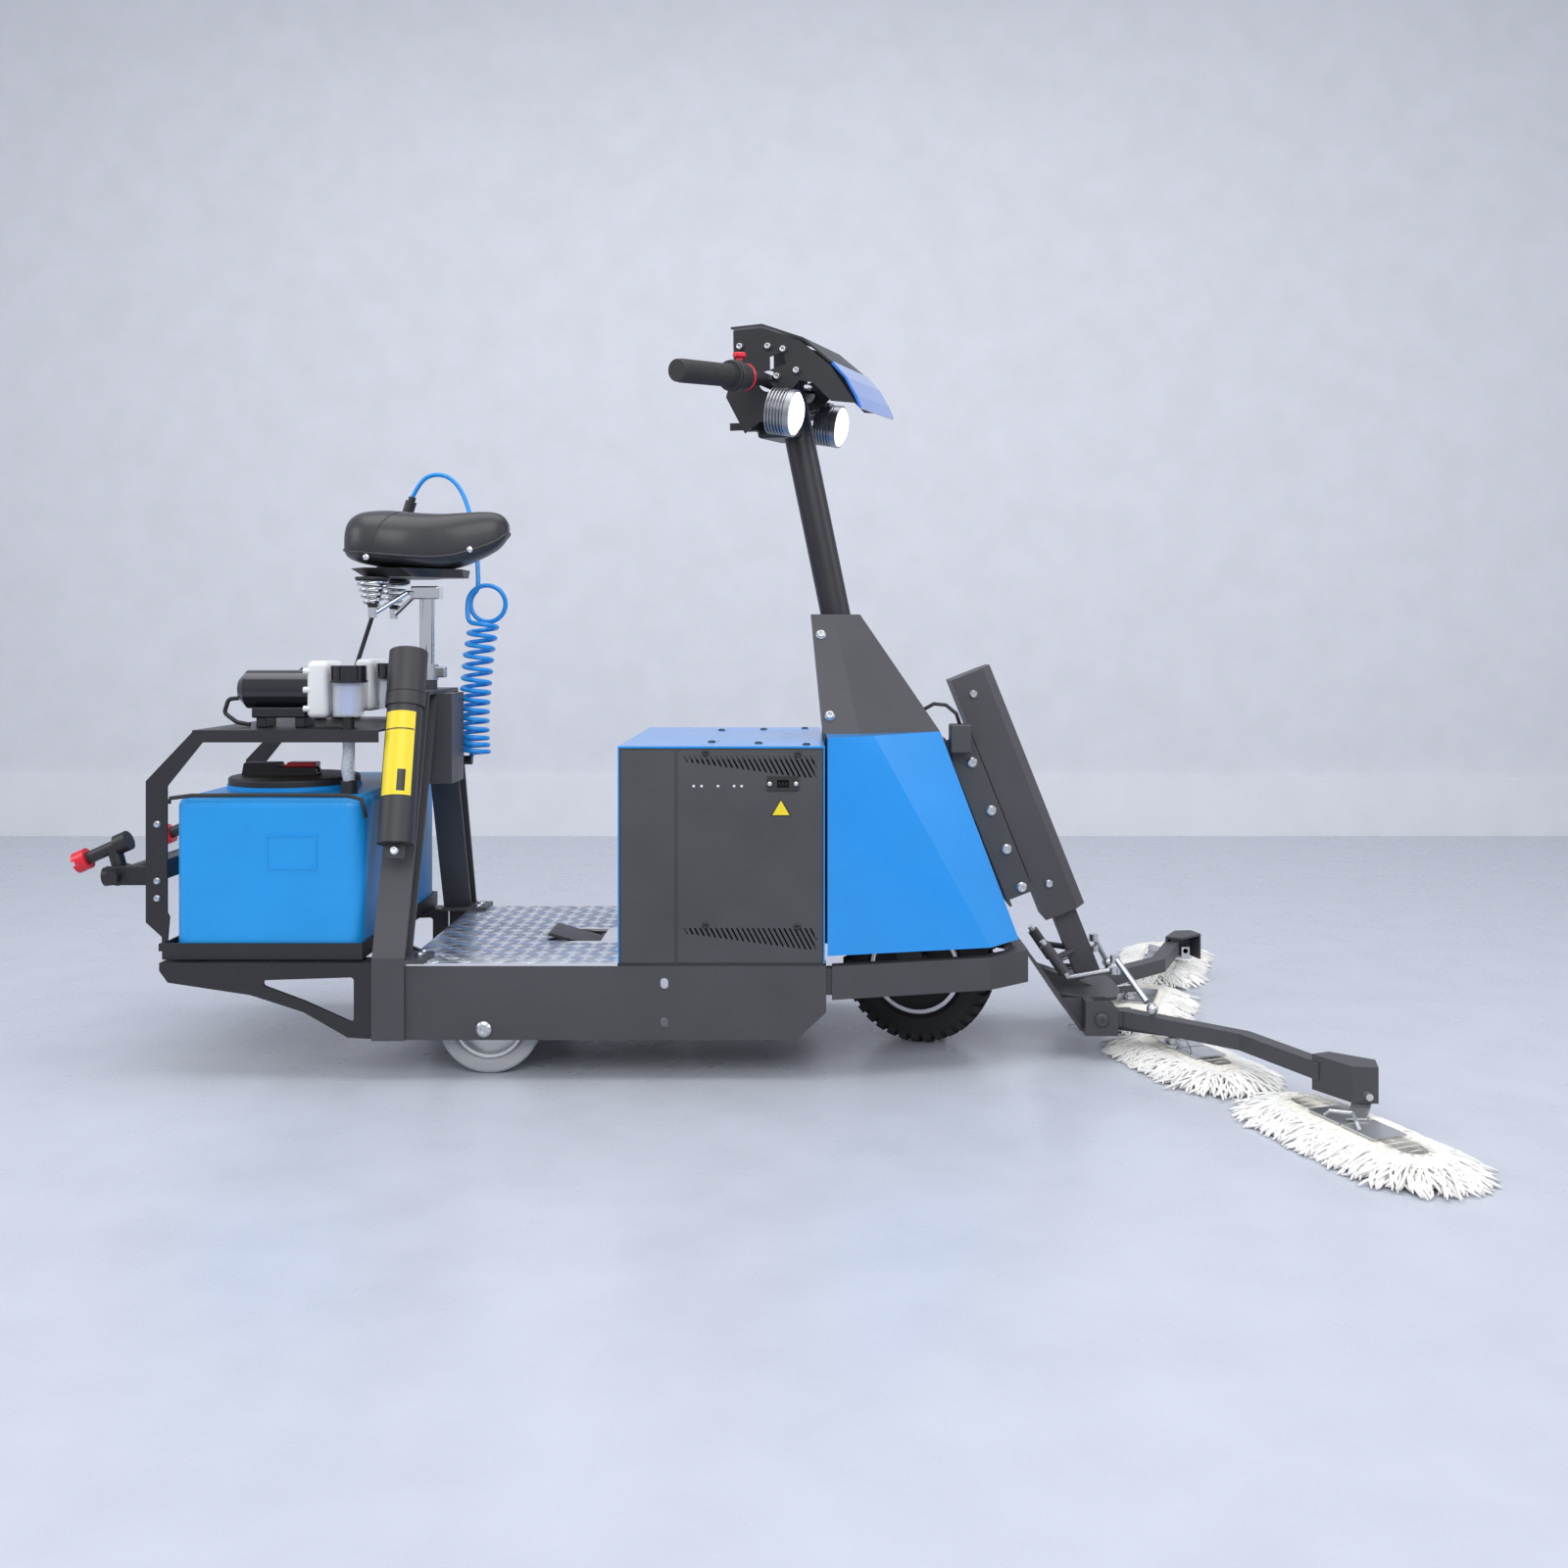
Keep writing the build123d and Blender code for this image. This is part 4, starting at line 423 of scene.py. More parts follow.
# Front hood and bumper. The hood is folded steel in azure powder coat, the bumper a bent
# anthracite plate round the front wheel. A cover and a bearing tube stand over the hood, and
# the cover is held by two zinc-plated hexagon bolts on washers a side.
paint(("hood", blue_powder), ("bumper", grey_powder), ("column_cover", grey_powder),
      ("head_tube", black_powder))
COVER_BOLTS = ((40, 682), (53, 552))                                       # x and z
BOLT_PROFILE = [(0, 8.5), (1.2, 8.5), (1.3, 6.6), (5.2, 6.4), (6, 5.4), (6, 3.2), (3, 3)]
cover_bolts = []
for side in (-1, 1):
    for x, z in COVER_BOLTS:
        beside, inward = at(x, 400 * side, z), Vector((0, -side, 0))
        _, place, normal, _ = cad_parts["column_cover"].ray_cast(beside, inward)
        place = Vector((place.x * 1000 - MIDDLE, place.y * 1000, place.z * 1000))
        cover_bolts.append(lathe(place, place + normal, BOLT_PROFILE, 24))
column_cover_bolts = add_mesh("column_cover_bolts", *gather(cover_bolts), zinc)
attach(column_cover_bolts, "chassis")

# Steering column and fork. Black powder-coated steel, a welded tube on a fork crown with two
# legs, which turn together in the bearing tube.
paint(("steering_column", black_powder), ("fork", black_powder))

# Front wheel. A wide black rubber tyre with moulded tread blocks on a cast silver hub motor.
# It is held in the fork by the motor's axle, and stands turned with the head.
TYRE_AT, TYRE_R, TYRE_HALF = (209, 0, 129.12), 127.5, 40
TREAD_DEEP, TREAD_COUNT, TREAD_SHARE = 6, 36, 0.62  # a block fills this share of its pitch
HEAD_TURN = -18        # degrees, to the right
tyre_black = material("front_tyre", (0.017, 0.017, 0.018), 0.72, grain=0.4, grain_scale=500, tone=0.10)
hub_silver = material("hub_silver", (0.66, 0.67, 0.69), 0.32, metallic=1.0, grain=0.15,
                      grain_scale=400, tone=0.08)
steer_pivot = at(66, 0, 716)
steer_axis = Vector((-0.2013, 0, 0.9795)).normalized()
head_turn = (Matrix.Translation(steer_pivot) @ Matrix.Rotation(radians(HEAD_TURN), 4, steer_axis)
             @ Matrix.Translation(-steer_pivot))


def steered(shape):
    """The shape turned with the head from straight ahead to where it stands."""
    points, faces = shape
    return [head_turn @ p for p in points], faces


def on_wheel(angle, radius, y):
    """A point on the wheel before it is turned, in millimetres."""
    return Vector((TYRE_AT[0] + radius * cos(angle), y, TYRE_AT[2] + radius * sin(angle)))


GROOVE_R = TYRE_R - TREAD_DEEP
CARCASS = [(8, 78.2), (1, 84), (0, 96), (1, 108), (5, 117), (12, GROOVE_R), (40, GROOVE_R + 1),
           (68, GROOVE_R), (75, 117), (79, 108), (80, 96), (79, 84), (72, 78.2)]
BLOCK_ROWS = ((3, 0.30, TYRE_R), (14, 0.10, TYRE_R), (28, 0.0, TYRE_R - 0.8), (38.5, -0.05, TYRE_R - 6),
              (39.9, -0.05, TYRE_R - 16))                                  # y, skew and radius
BLOCK_ROOT = 9         # how far a block reaches down into the carcass
blocks = [lathe(on_wheel(0, 0, -TYRE_HALF), on_wheel(0, 0, TYRE_HALF), CARCASS, 96)]
for i in range(TREAD_COUNT):
    for side in (-1, 1):
        start = tau * (i + (0.5 if side > 0 else 0)) / TREAD_COUNT
        wide = tau / TREAD_COUNT * TREAD_SHARE
        points, faces = [], []
        for across, skew, high in BLOCK_ROWS:
            for share in (-0.5, 0.5):
                a = start + wide * share + skew * tau / TREAD_COUNT
                points.append(at(*on_wheel(a, high, across * side)))
                points.append(at(*on_wheel(a, high - BLOCK_ROOT, min(across, 36) * side)))
        for j in range(len(BLOCK_ROWS) - 1):
            p = 4 * j
            faces += [(p, p + 2, p + 6, p + 4), (p, p + 4, p + 5, p + 1), (p + 2, p + 3, p + 7, p + 6)]
        faces += [(0, 1, 3, 2), (len(points) - 4, len(points) - 2, len(points) - 1, len(points) - 3)]
        blocks.append((points, faces))
front_tread = add_mesh("front_tread", *steered(gather(blocks)), tyre_black)
shade = front_tread.modifiers.new("edges", "EDGE_SPLIT")
shade.split_angle = radians(35)
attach(front_tread, "front_wheel")
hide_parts("front_tyre")
paint(("front_hub_motor", hub_silver))

# Handlebar. A steel tube with moulded switch housings and ribbed rubber grips. The right grip
# is the throttle, and a red stop button stands on its housing.
rubber = material("black_rubber", (0.020, 0.020, 0.022), 0.62, grain=0.3, grain_scale=900, tone=0.06)
red_plastic = material("red_plastic", (0.70, 0.012, 0.03), 0.3, grain=0.05, tone=0.04)
paint(("handlebar", black_plastic), ("throttle_grip", rubber), ("stop_button", red_plastic),
      ("ignition_key", black_plastic))
BAR_BEND, BAR_TIP = Vector((-15.9, -132, 1101)), Vector((-77.9, -337, 1093))
RIB_COUNT, RIB_START, RIB_PITCH = 17, 94, 6.8       # from the bar's bend
RING_AT = 44.5
bar_way = (BAR_TIP - BAR_BEND).normalized()
grip_ribs = []
for i in range(RIB_COUNT):
    a = BAR_BEND + bar_way * (RIB_START + i * RIB_PITCH)
    grip_ribs.append(lathe(a, a + bar_way, [(0, 16.8), (0.8, 17.9), (3.4, 17.9), (4.2, 16.8)], 32))
right_ribs = add_mesh("right_grip_ribs", *steered(gather(grip_ribs)), rubber)
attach(right_ribs, "throttle")
left_points, left_faces = gather(grip_ribs)
left_points = [Vector((p.x, -p.y, p.z)) for p in left_points]
left_ribs = add_mesh("left_grip_ribs", *steered((left_points, [f[::-1] for f in left_faces])), rubber)
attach(left_ribs, "steering")
a = BAR_BEND + bar_way * RING_AT
ring_shape = lathe(a, a + bar_way, [(0, 16), (0, 21.6), (1.6, 21.6), (1.6, 16)], 32)
red_ring = add_mesh("housing_ring", *steered(ring_shape), red_plastic)
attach(red_ring, "steering")

# Head. Laser-cut black side plates and cover sheet, bolted together with silver socket screws
# on dark washers, and a glossy azure nose.
blue_gloss = material("blue_gloss", (0.012, 0.16, 0.62), 0.12, grain=0.03, tone=0.04, coat=0.8)
paint(("head_plates", black_powder), ("head_nose", blue_gloss))
HEAD_BOLTS = ((-62, 1158), (-14, 1156), (12, 1150), (34, 1115), (1, 1107), (-48, 1094))      # x and z
HEAD_SIDE = 105
bolts, washers = [], []
for x, z in HEAD_BOLTS:
    for y, out in ((-HEAD_SIDE, -1), (HEAD_SIDE, 1)):
        washers.append(lathe((x, y, z), (x, y + out, z), [(0, 7.5), (1.2, 7.5), (1.6, 7)], 24))
        bolts.append(lathe((x, y + out * 1.4, z), (x, y + out * 2.4, z),
                           [(0, 5), (4, 5), (4.6, 4.5), (4.6, 2.6), (2, 2.5)], 20))
head_bolts = add_mesh("head_bolts", *steered(gather(bolts)), zinc)
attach(head_bolts, "steering")
head_washers = add_mesh("head_washers", *steered(gather(washers)), black_powder)
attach(head_washers, "steering")

# Headlights. Finned cast bodies with bright white lenses, one on each side of the head.
lamp_grey = material("lamp_grey", (0.34, 0.35, 0.37), 0.34, metallic=0.9, grain=0.2, grain_scale=700)
lens_look = material("lens", (0.92, 0.94, 0.97), 0.12, grain=0.05, grain_scale=260, tone=0.02)
lens_shader = lens_look.node_tree.nodes["Principled BSDF"]
lens_shader.inputs["Emission Color"].default_value = (1, 1, 1, 1)
lens_shader.inputs["Emission Strength"].default_value = 2.2
paint(("headlight_bodies", lamp_grey), ("headlight_lenses", lens_look))

# Rear wheels. Non-marking light-grey rubber moulded on silver rims, one on each end of the
# fixed rear axle. The faces inside the rim's radius take the rim's paint.
REAR_AXLE_X, REAR_AXLE_Z, RIM_R = -477, 80, 56
grey_tyre = material("grey_tyre", (0.42, 0.43, 0.45), 0.55, grain=0.2, grain_scale=500, tone=0.12)
rim_white = material("rim_white", (0.72, 0.73, 0.75), 0.35, grain=0.08, metallic=0.5)
for node in ("rear_right_wheel", "rear_left_wheel"):
    paint((node, grey_tyre))
    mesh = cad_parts[node].data
    mesh.materials.append(rim_white)
    for polygon in mesh.polygons:
        from_axle = (polygon.center - at(REAR_AXLE_X, polygon.center.y * 1000, REAR_AXLE_Z)).length
        polygon.material_index = 1 if from_axle < RIM_R / 1000 - 0.0005 else 0

# Seat hoop and post. The hoop is folded and welded anthracite steel, bolted to the foot deck,
# and the post a chromed tube that slides in it under a clamp.
chrome = material("chrome", (0.78, 0.79, 0.81), 0.10, metallic=1.0, grain=0.03, tone=0.03)
paint(("seat_hoop", grey_powder), ("seat_post", chrome))

# Saddle springs. Two conical coils of chromed wire stand side by side between black discs
# on the post and under the pan.
SPRING_WIRE, SPRING_TURNS, SPRING_STEPS = 2.2, 4.5, 80
SPRING_X, SPRING_HALF = -700, 62
SPRING_LOW, SPRING_HIGH = 730, 44
SPRING_NARROW, SPRING_SPREAD = 11, 15               # the coil's radius at its foot, and what it gains
coils, discs = [], []


def tube(points, radius, sides=8):
    """A tube along a row of points in millimetres, one radius all along or one a point."""
    points = [Vector(p) for p in points]
    radii = radius if isinstance(radius, (list, tuple)) else [radius] * len(points)
    made, faces = [], []
    way = (points[1] - points[0]).normalized()
    side = way.cross(Vector((0.13, 0.31, 0.94))).normalized()
    for i, p in enumerate(points):
        way = (points[min(i + 1, len(points) - 1)] - points[max(i - 1, 0)]).normalized()
        side = (side - way * side.dot(way)).normalized()
        other = way.cross(side)
        for k in range(sides):
            a = tau * k / sides
            made.append(at(*(p + (side * cos(a) + other * sin(a)) * radii[i])))
    for j in range(len(points) - 1):
        for k in range(sides):
            a, b = j * sides + k, j * sides + (k + 1) % sides
            faces.append((a, b, b + sides, a + sides))
    faces.append(tuple(range(sides - 1, -1, -1)))
    faces.append(tuple(range((len(points) - 1) * sides, len(points) * sides)))
    return made, faces


for y in (-SPRING_HALF, SPRING_HALF):
    path = []
    for i in range(SPRING_STEPS + 1):
        share = i / SPRING_STEPS
        wide = SPRING_NARROW + SPRING_SPREAD * share ** 0.8
        turn = share * SPRING_TURNS * tau
        path.append((SPRING_X + wide * cos(turn), y + wide * sin(turn), SPRING_LOW + SPRING_HIGH * share))
    coils.append(tube(path, SPRING_WIRE, 8))
    discs.append(lathe((SPRING_X, y, 727), (SPRING_X, y, 777), [(0, 7), (3, 8), (6, 8), (7, 6)], 20))
    discs.append(lathe((SPRING_X, y, 771), (SPRING_X, y, 777), [(0, 27), (5, 28), (6, 27)], 32))
springs = add_mesh("spring_coils", *gather(coils), chrome)
spring_discs = add_mesh("spring_discs", *gather(discs), black_plastic)
for piece, slot_name in ((springs, "chrome"), (spring_discs, "black_plastic")):
    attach(piece, "post")
    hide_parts("saddle_springs")
    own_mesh(piece)

# Saddle. Foam under black grained vinyl, wide and round behind and narrow at the raised nose,
# with a piped edge low all round, a seam on each rear side and two chrome studs a side.
SADDLE = [(-754, 30, 822, 850), (-750, 52, 812, 868), (-742, 72, 806, 880), (-727, 88, 801, 889),
          (-705, 97, 797, 893), (-675, 98, 794, 894), (-648, 92, 792, 892), (-622, 79, 791, 890),
          (-596, 63, 792, 889), (-570, 49, 797, 890), (-546, 39, 806, 891), (-524, 31, 816, 891),
          (-506, 25, 827, 888), (-494, 18, 840, 880), (-488, 10, 850, 870)]  # x, half width, low, high
vinyl = material("vinyl", (0.026, 0.027, 0.030), 0.40, grain=0.35, grain_scale=420, tone=0.06, coat=0.08)


def saddle_point(share, angle, grow=0.0):
    """A point on the vinyl: share runs from the rear to the nose, angle round the section."""
    place = share * (len(SADDLE) - 1)
    i = min(int(place), len(SADDLE) - 2)
    before, after = SADDLE[max(i - 1, 0)], SADDLE[min(i + 2, len(SADDLE) - 1)]
    t = place - i
    x, wide, low, high = [0.5 * (2 * b + (c - a) * t + (2 * a - 5 * b + 4 * c - d) * t * t
                                 + (3 * b - a - 3 * c + d) * t ** 3)
                          for a, b, c, d in zip(before, SADDLE[i], SADDLE[i + 1], after)]
    middle = low + (high - low) * 0.36
    c, s = cos(angle), sin(angle)
    across = (wide + grow) * abs(c) ** 0.72 * (1 if c > 0 else -1)
    if s > 0:
        up = (high - middle + grow) * s ** 0.80 - 5 * (1 - abs(c)) * max(0.0, 1 - abs(share - 0.4) * 2)
    else:
        up = -(middle - low + grow) * abs(s) ** 0.55
    return Vector((x, across, middle + up))


RINGS, ROUND = 56, 48
vinyl_points, vinyl_faces = [], []
for j in range(RINGS + 1):
    for k in range(ROUND):
        vinyl_points.append(at(*saddle_point(j / RINGS, tau * k / ROUND)))
for j in range(RINGS):
    for k in range(ROUND):
        a, b = j * ROUND + k, j * ROUND + (k + 1) % ROUND
        vinyl_faces.append((a, b, b + ROUND, a + ROUND))
vinyl_faces += [tuple(range(ROUND - 1, -1, -1)), tuple(range(RINGS * ROUND, (RINGS + 1) * ROUND))]
saddle_cover = add_mesh("saddle_cover", vinyl_points, vinyl_faces, vinyl)
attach(saddle_cover, "saddle")
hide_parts("saddle_cushion")
EDGE = radians(-14)
right_edge = [saddle_point(j / RINGS, pi - EDGE, 0.6) for j in range(RINGS + 1)]
left_edge = [saddle_point(j / RINGS, EDGE, 0.6) for j in range(RINGS, -1, -1)]
seams = [tube(right_edge + left_edge + [right_edge[0]], 2.3, 8)]
for y_side in (0, pi):
    seam = [saddle_point(0.30 + 0.01 * k, abs(y_side - radians(8 * k - 14)), 0.1) for k in range(11)]
    seams.append(tube(seam, 0.9, 6))
saddle_piping = add_mesh("saddle_piping", *gather(seams), vinyl)
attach(saddle_piping, "saddle")
STUDS = ((-700, 97, 808), (-545, 40, 824))
studs = []
for x, y, z in STUDS:
    for side in (-1, 1):
        studs.append(lathe((x, (y - 3) * side, z), (x, (y + 2) * side, z),
                           [(0, 5.5), (3.4, 5.5), (4.8, 4), (5.4, 1.5)], 20))
saddle_studs = add_mesh("saddle_studs", *gather(studs), chrome)
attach(saddle_studs, "saddle")
paint(("saddle_pan", black_plastic))

# Rear carrier. Laser-cut and folded steel in black powder coat: two brackets, a tray, two posts
# and the pump shelf, with button-head screws in the posts.
paint(("rear_carrier", black_powder))

# Tank. A moulded azure tank with a blank raised panel on each side and a black screw lid with a
# red lever. A black strap crosses its top edge.
tank_blue = material("blue_tank", (0.010, 0.30, 0.74), 0.38, grain=0.22, grain_scale=240, tone=0.05)
lid_black = material("lid_black", (0.020, 0.020, 0.022), 0.5, grain=0.2, grain_scale=600, tone=0.06)
paint(("tank", tank_blue), ("tank_lid", lid_black), ("lid_lever", red_plastic))
STRAP_R = 3.2
STRAP = [(-964, -224, 422), (-962, -224.5, 430), (-930, -223, 434), (-800, -222.5, 434.5),
         (-690, -223, 434), (-668, -224, 428), (-662, -223, 400)]
tank_strap = add_mesh("tank_strap", *tube(STRAP, STRAP_R, 10), rubber)
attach(tank_strap, "chassis")

# Pumps and filters. Two black motors with white pump heads, each with a clear filter bowl round
# a blue strainer, under a ribbed black cap, and a clear braided hose down to the tank.
motor_black = material("motor_black", (0.010, 0.011, 0.016), 0.22, grain=0.06, grain_scale=500,
                       tone=0.05, coat=0.5)
white_plastic = material("white_plastic", (0.74, 0.75, 0.76), 0.35, grain=0.12, grain_scale=500, tone=0.04)
strainer_blue = material("strainer_blue", (0.06, 0.22, 0.80), 0.4, grain=0.1)


def clear(name, color, alpha, roughness):
    """A see-through plastic."""
    made = material(name, color, roughness, grain=0.02)
    shader = made.node_tree.nodes["Principled BSDF"]
    shader.inputs["Alpha"].default_value = alpha
    shader.inputs["Specular IOR Level"].default_value = 0.8
    made.surface_render_method = "BLENDED"
    return made


clear_bowl = clear("clear_bowl", (0.86, 0.90, 0.95), 0.32, 0.06)
braided = clear("braided_hose", (0.62, 0.68, 0.74), 0.66, 0.25)
paint(("pump_motors", motor_black), ("pump_heads", white_plastic), ("filter_bowls", clear_bowl),
      ("pump_hoses", black_plastic))
FILTER_X, FILTERS = -707, (-165, 81)
FILTER_REACH = 26      # what stands this near a filter's axis is strainer or hose, not cable
STRAINER_LOW, HOSE_LOW, HOSE_HIGH = 555, 452, 523
THREADS, THREAD_R, BRAID_R = 4, 0.45, 9.2
BRAID_TURN, BRAID_DROP, BRAID_STEPS = 0.42, 2.2, 30
CAGE_WIRES, CAGE_R = 8, 13
hose_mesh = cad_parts["pump_hoses"].data
hose_mesh.materials.append(braided)
hose_mesh.materials.append(strainer_blue)
for polygon in hose_mesh.polygons:
    z = polygon.center.z * 1000
    x = polygon.center.x * 1000 - MIDDLE
    by_filter = abs(x - FILTER_X) < FILTER_REACH
    if by_filter and z > STRAINER_LOW:
        polygon.material_index = 2
    elif by_filter and HOSE_LOW < z < HOSE_HIGH:
        polygon.material_index = 1
braid_threads, cages = [], []
for y in FILTERS:
    for sense in (-1, 1):
        for k in range(THREADS):
            thread = []
            for i in range(BRAID_STEPS):
                a = sense * i * BRAID_TURN + k * tau / THREADS
                thread.append((FILTER_X + 0.5 + BRAID_R * cos(a), y + BRAID_R * sin(a), 520 - i * BRAID_DROP))
            braid_threads.append(tube(thread, THREAD_R, 4))
    for k in range(CAGE_WIRES):
        a = tau * k / CAGE_WIRES
        wire_x, wire_y = FILTER_X + CAGE_R * cos(a), y + CAGE_R * sin(a)
        cages.append(tube([(wire_x, wire_y, 557), (wire_x, wire_y, 604)], 1.1, 6))
    for z in (560, 582, 602):
        cages.append(lathe((FILTER_X, y, z), (FILTER_X, y, z + 2), [(0, 11), (0, 14), (2, 14), (2, 11)], 24))
hose_braid = add_mesh("hose_braid", *gather(braid_threads), white_plastic)
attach(hose_braid, "chassis")
strainer_cage = add_mesh("strainer_cage", *gather(cages), strainer_blue)
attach(strainer_cage, "chassis")

# Document tube. A dark grey plastic tube with a pull-off cap stands in a clamp on the seat hoop,
# with a yellow label and two blank dark marks wrapped on its front.
tube_grey = material("document_tube", (0.032, 0.032, 0.034), 0.5, grain=0.15, grain_scale=900, tone=0.05)
paint(("document_tube", tube_grey), ("document_cap", tube_grey))
TUBE_FOOT, TUBE_HEAD = Vector((-615, -229, 360)), Vector((-622, -127, 655))
tube_way = (TUBE_HEAD - TUBE_FOOT).normalized()
tube_side = tube_way.cross(Vector((1, 0, 0))).normalized()


def wrapped(along0, along1, angle0, angle1, radius):
    """A strip of label bent round the document tube."""
    cross = tube_way.cross(tube_side)
    points, faces = [], []
    for i in range(13):
        a = angle0 + (angle1 - angle0) * i / 12
        for d in (along0, along1):
            points.append(at(*(TUBE_FOOT + tube_way * d + (tube_side * cos(a) + cross * sin(a)) * radius)))
    for i in range(12):
        faces.append((2 * i, 2 * i + 2, 2 * i + 3, 2 * i + 1))
    return points, faces


LABEL_R, MARK_R = 27.8, 28.0
out_angle = pi if tube_side.y > 0 else 0
label_shape = wrapped(72, 206, out_angle - 0.95, out_angle + 0.95, LABEL_R)
tube_label = add_mesh("tube_label", *label_shape, label_yellow)
dark = [wrapped(176, 178, out_angle - 0.9, out_angle + 0.9, MARK_R),
        wrapped(78, 112, out_angle + 0.1, out_angle + 0.55, MARK_R)]
tube_marks = add_mesh("tube_marks", *gather(dark), label_black)
for piece in (tube_label, tube_marks):
    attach(piece, "chassis")

# Nozzles. A black moulded spray bar with two triple nozzle bodies turns under the rear carrier,
# and red fan caps are pushed on the nozzles.
paint(("nozzle_bodies", black_plastic), ("nozzle_caps", red_plastic))

# Spray gun. Two halves of black moulded plastic on a steel lance, which stands loose in a cup
# on the pump shelf. The hose leaves its grip.
paint(("spray_gun", black_plastic), ("gun_trigger", black_plastic))

# Lift. A folded anthracite cover over an electric ram, on a drilled mount bolted to the hood,
# and a black cable from its limit box up over the mount.
paint(("lift_mount", grey_powder), ("lift_cover", grey_powder), ("mop_carriage", grey_powder))
CABLE_R = 3.2
CABLE = [(269, -66, 533), (263, -66, 552), (246, -66, 566), (226, -64, 568), (209, -60, 558),
         (200, -56, 540), (198, -52, 520)]
lift_cable = add_mesh("lift_cable", *tube(CABLE, CABLE_R, 10), rubber)
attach(lift_cable, "chassis")

# Mop arms. Welded square steel tube in anthracite powder coat, pinned to the carriage, with
# zinc-plated cranks and links that fold them up.
paint(("arm_right", grey_powder), ("arm_left", grey_powder), ("crank_right", zinc), ("crank_left", zinc),
      ("link_right", zinc), ("link_left", zinc))

# Mops. Each is a canvas pocket stretched over a folding galvanised frame and hemmed with cotton
# yarn, whose looped ends spread over the floor.
MOP_ROW = radians(70.4)
MOP_CORNER_X, MOP_WIDTH, MOP_FRINGE = 470, 176, 40
YARN_R = 1.9
canvas = material("canvas", (0.84, 0.81, 0.73), 0.85, grain=0.5, grain_scale=900, tone=0.10)
yarn = material("yarn", (0.86, 0.85, 0.82), 0.9, grain=0.6, grain_scale=1200, tone=0.10)
galvanised = material("galvanised", (0.60, 0.61, 0.62), 0.38, metallic=1.0, grain=0.3,
                      grain_scale=250, tone=0.16)
CANVAS_ROUNDS = 96
CANVAS_LEVELS = ((0.0, 9), (1.0, 14), (-3, 21), (-14, 25), (-30, 28))      # outset and height
CANVAS_TOP = 28.1
STITCH_PITCH = 15
YARN_LAYERS, YARN_STEPS = 4, 8
YARN_TAPER = (0.9, 1, 1.1, 0.95, 1.1, 0.95, 1.1, 1.05, 0.6)
chance = random.Random(7)


def on_row(along, across, z, side):
    """A point on a row of mops: side is -1 on the machine's right and 1 on its left."""
    x = MOP_CORNER_X + along * cos(MOP_ROW) + across * sin(MOP_ROW)
    y = along * sin(MOP_ROW) - across * cos(MOP_ROW)
    return Vector((x, y * side, z))


def rim(along0, along1, half, share):
    """A place on a stadium outline and its outward direction, both as along and across."""
    r = half
    straight = along1 - along0 - 2 * r
    length = 2 * straight + tau * r
    d = (share % 1) * length
    middle = MOP_WIDTH / 2
    if d < straight:
        return (along0 + r + d, middle - r), (0, -1)
    d -= straight
    if d < pi * r:
        a = -pi / 2 + d / r
        return (along1 - r + r * cos(a), middle + r * sin(a)), (cos(a), sin(a))
    d -= pi * r
    if d < straight:
        return (along1 - r - d, middle + r), (0, 1)
    a = pi / 2 + (d - straight) / r
    return (along0 + r + r * cos(a), middle + r * sin(a)), (cos(a), sin(a))


def mop(side, start, end, strands):
    """The canvas, yarn and stitching of one mop."""
    half = MOP_WIDTH / 2 - MOP_FRINGE
    along0, along1 = start + MOP_FRINGE, end - MOP_FRINGE
    rounds, levels = CANVAS_ROUNDS, CANVAS_LEVELS
    points, faces = [], []
    for outset, z in levels:
        for k in range(rounds):
            (a, c), (da, dc) = rim(along0, along1, half, k / rounds)
            lump = 1.2 * sin(k * 1.7) + 0.8 * sin(k * 0.61 + start)
            points.append(at(*on_row(a + da * (outset + lump), c + dc * (outset + lump), z, side)))
    for j in range(len(levels) - 1):
        for k in range(rounds):
            a, b = j * rounds + k, j * rounds + (k + 1) % rounds
            face = (a, b, b + rounds, a + rounds)
            faces.append(face if side > 0 else face[::-1])
    faces.append(tuple(range((len(levels) - 1) * rounds, len(levels) * rounds)))
    stitches = []
    for i in range(1, int((along1 - along0) / STITCH_PITCH)):
        a = along0 + i * STITCH_PITCH
        reach = half - 12 if half < a - along0 and a < along1 - half else half - 30
        seam = [on_row(a, MOP_WIDTH / 2 + reach * s, CANVAS_TOP - 3.2 * abs(s) ** 3, side)
                for s in (-1, -0.6, 0, 0.6, 1)]
        stitches.append(tube(seam, 0.7, 5))
    threads = []
    for i in range(strands):
        layer = i % YARN_LAYERS
        (a, c), (da, dc) = rim(along0, along1, half, (i + chance.random()) / strands)
        a, c = a - da * (4 + layer * 3), c - dc * (4 + layer * 3)
        reach = MOP_FRINGE + chance.uniform(-6, 22)
        skew = chance.gauss(0, 0.42)
        z0 = 9 + layer * 4.5
        path = []
        curl, phase = chance.uniform(2, 8), chance.uniform(0, tau)
        for k in range(YARN_STEPS + 1):
            t = k / YARN_STEPS
            sideways = skew * reach * t + curl * sin(phase + t * 5) * t
            out = reach * t * (1 - 0.08 * t)
            z = max(YARN_R + layer * 1.3, z0 + 3 * sin(t * pi) - (z0 - YARN_R) * t ** 1.3 + layer * 1.2 * t)
            path.append(on_row(a + da * out - dc * sideways, c + dc * out + da * sideways, z, side))
        threads.append(tube(path, [YARN_R * w for w in YARN_TAPER], 5))
    return (points, faces), gather(stitches), gather(threads)


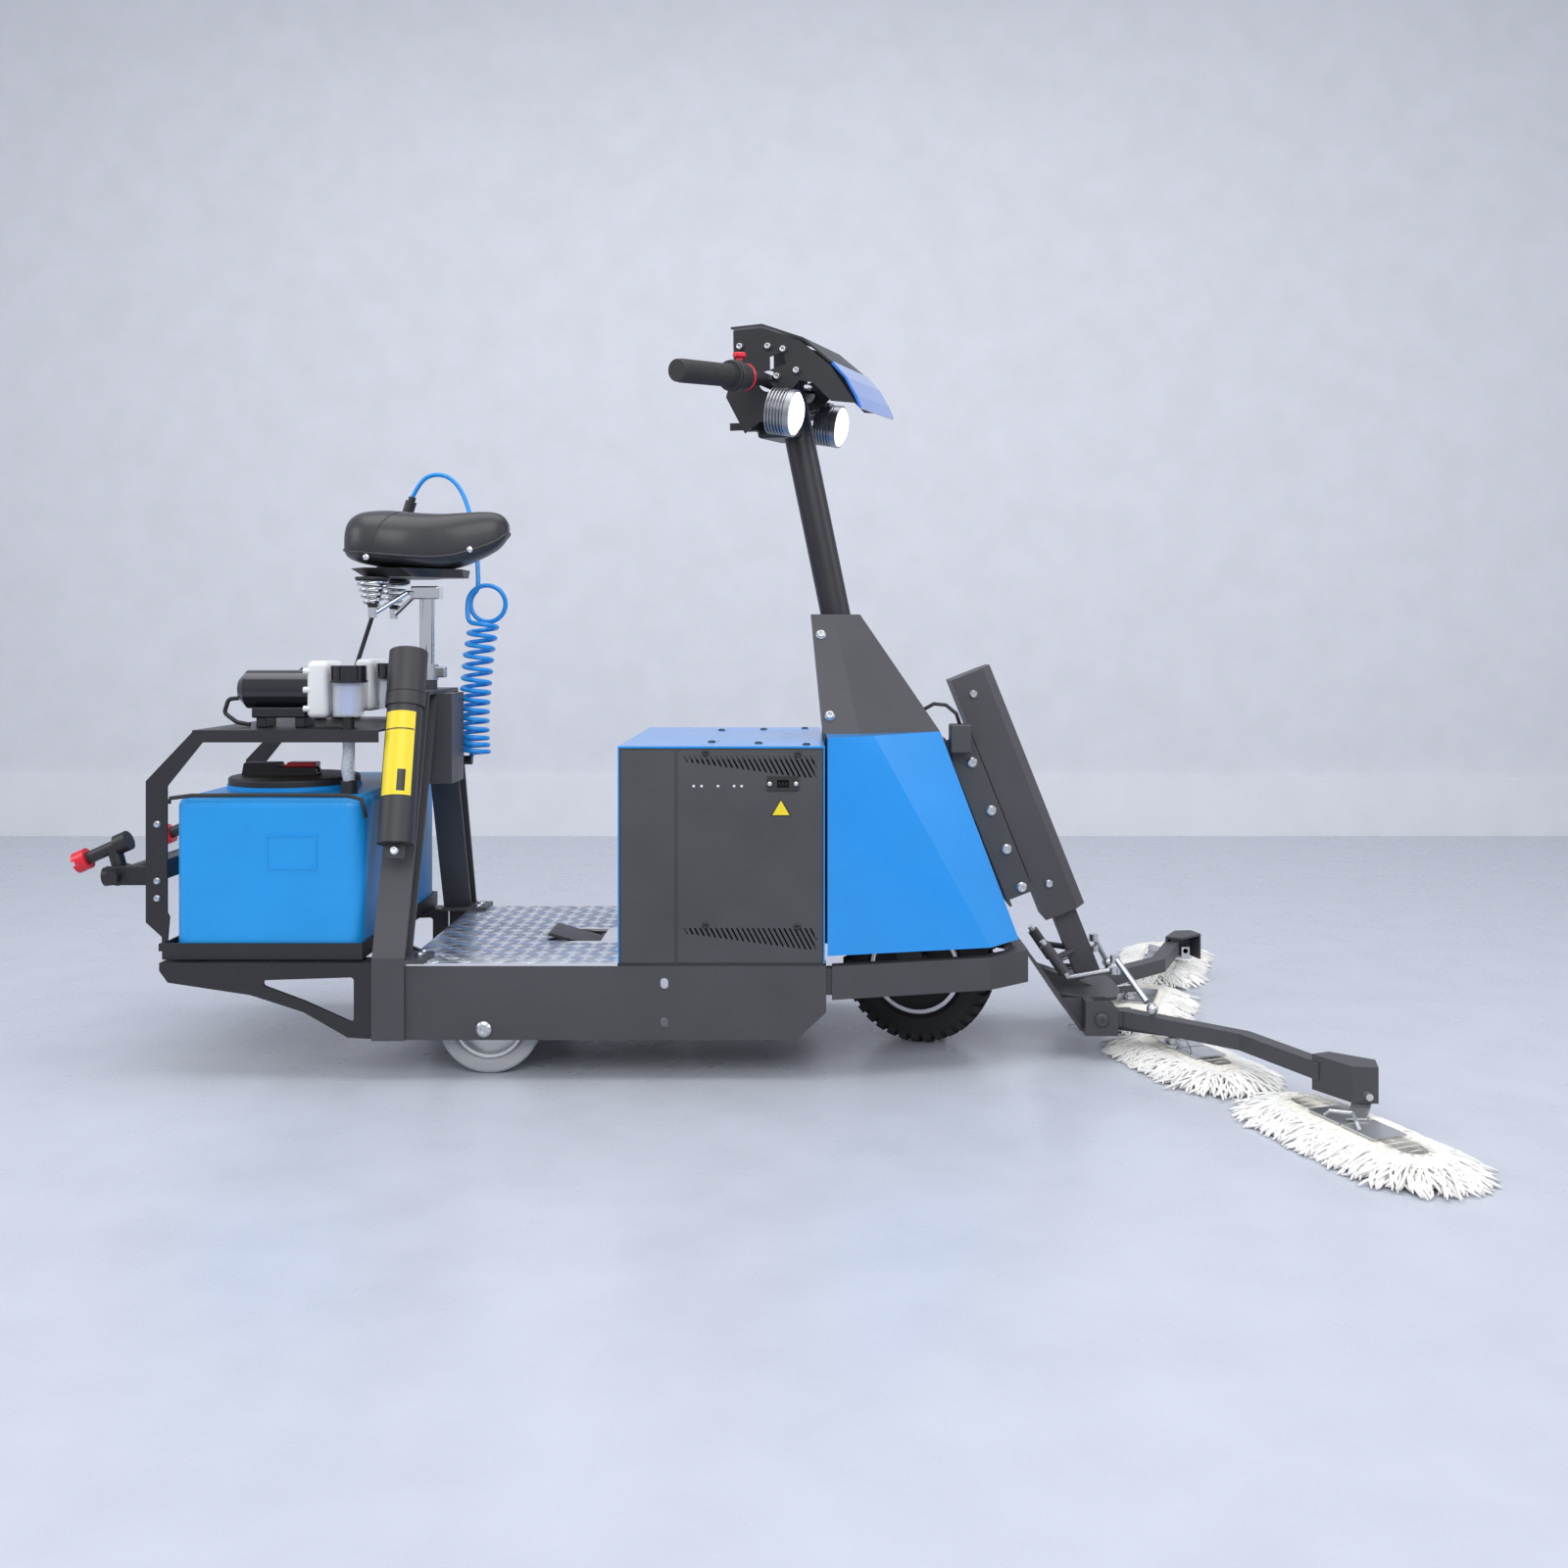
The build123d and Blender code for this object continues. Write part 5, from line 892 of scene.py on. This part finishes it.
MOP_ROWS = (("inner", 46, 366, 820), ("outer", 386, 764, 940))             # start, end and strands
INNER_PIN = (598, 154)
OUTER_TIP = (780, 446)
for side, name in ((-1, "right"), (1, "left")):
    for place, start, end, strands in MOP_ROWS:
        node = f"{place}_mop_{name}"
        top, stitching, fringe = mop(side, start, end, strands)
        middle = (start + end) / 2
        plates = []
        run = on_row(1, 0, 0, side) - on_row(0, 0, 0, side)
        step = on_row(0, 1, 0, side) - on_row(0, 0, 0, side)
        for sign in (-1, 1):
            centre = on_row(middle + sign * (end - start) * 0.085, MOP_WIDTH / 2, 30.2, side)
            points, faces = box_shape(centre, run * (end - start) * 0.08, step * 27, (0, 0, 1.2))
            plates.append(([at(*p) for p in points], faces))
        bail = [on_row(middle + along, MOP_WIDTH / 2 - back, z, side)
                for along, back, z in ((-34, 24, 33), (-26, 22, 40), (0, 6, 43), (26, 22, 40), (34, 24, 33))]
        plates.append(tube(bail, 2.5, 8))
        if place == "inner":
            pin_x, pin_y = INNER_PIN
            plates.append(lathe((pin_x, pin_y * side, 30), (pin_x, pin_y * side, 43.4),
                                [(0, 14), (4, 14), (5, 9), (13.4, 9)], 24))
        else:
            tip_x, tip_y = OUTER_TIP
            hub = on_row(middle, MOP_WIDTH / 2, 34, side)
            tip = Vector((tip_x, tip_y * side, 36))
            points, faces = box_shape((hub + tip) / 2, (tip - hub) / 2, (14, 0, 0), (0, 0, 1.6))
            plates.append(([at(*p) for p in points], faces))
            points, faces = box_shape((tip_x, tip_y * side, 46), (8, 0, 0), (0, 4, 0), (0, 0, 12))
            plates.append(([at(*p) for p in points], faces))
            plates.append(lathe((tip_x, (tip_y - 4) * side, 50), (tip_x, (tip_y + 26) * side, 50),
                                [(0, 5), (30, 5)], 20))
        for piece, shape, look in (("canvas", top, canvas), ("stitching", stitching, canvas),
                                   ("yarn", fringe, yarn), ("mop_frame", gather(plates), galvanised)):
            made = add_mesh(f"{piece}_{place}_{name}", *shape, look, smooth=piece != "mop_frame")
            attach(made, f"{place}_{name[0]}")
            if piece in ("canvas", "mop_frame", "yarn"):
                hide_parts(node)
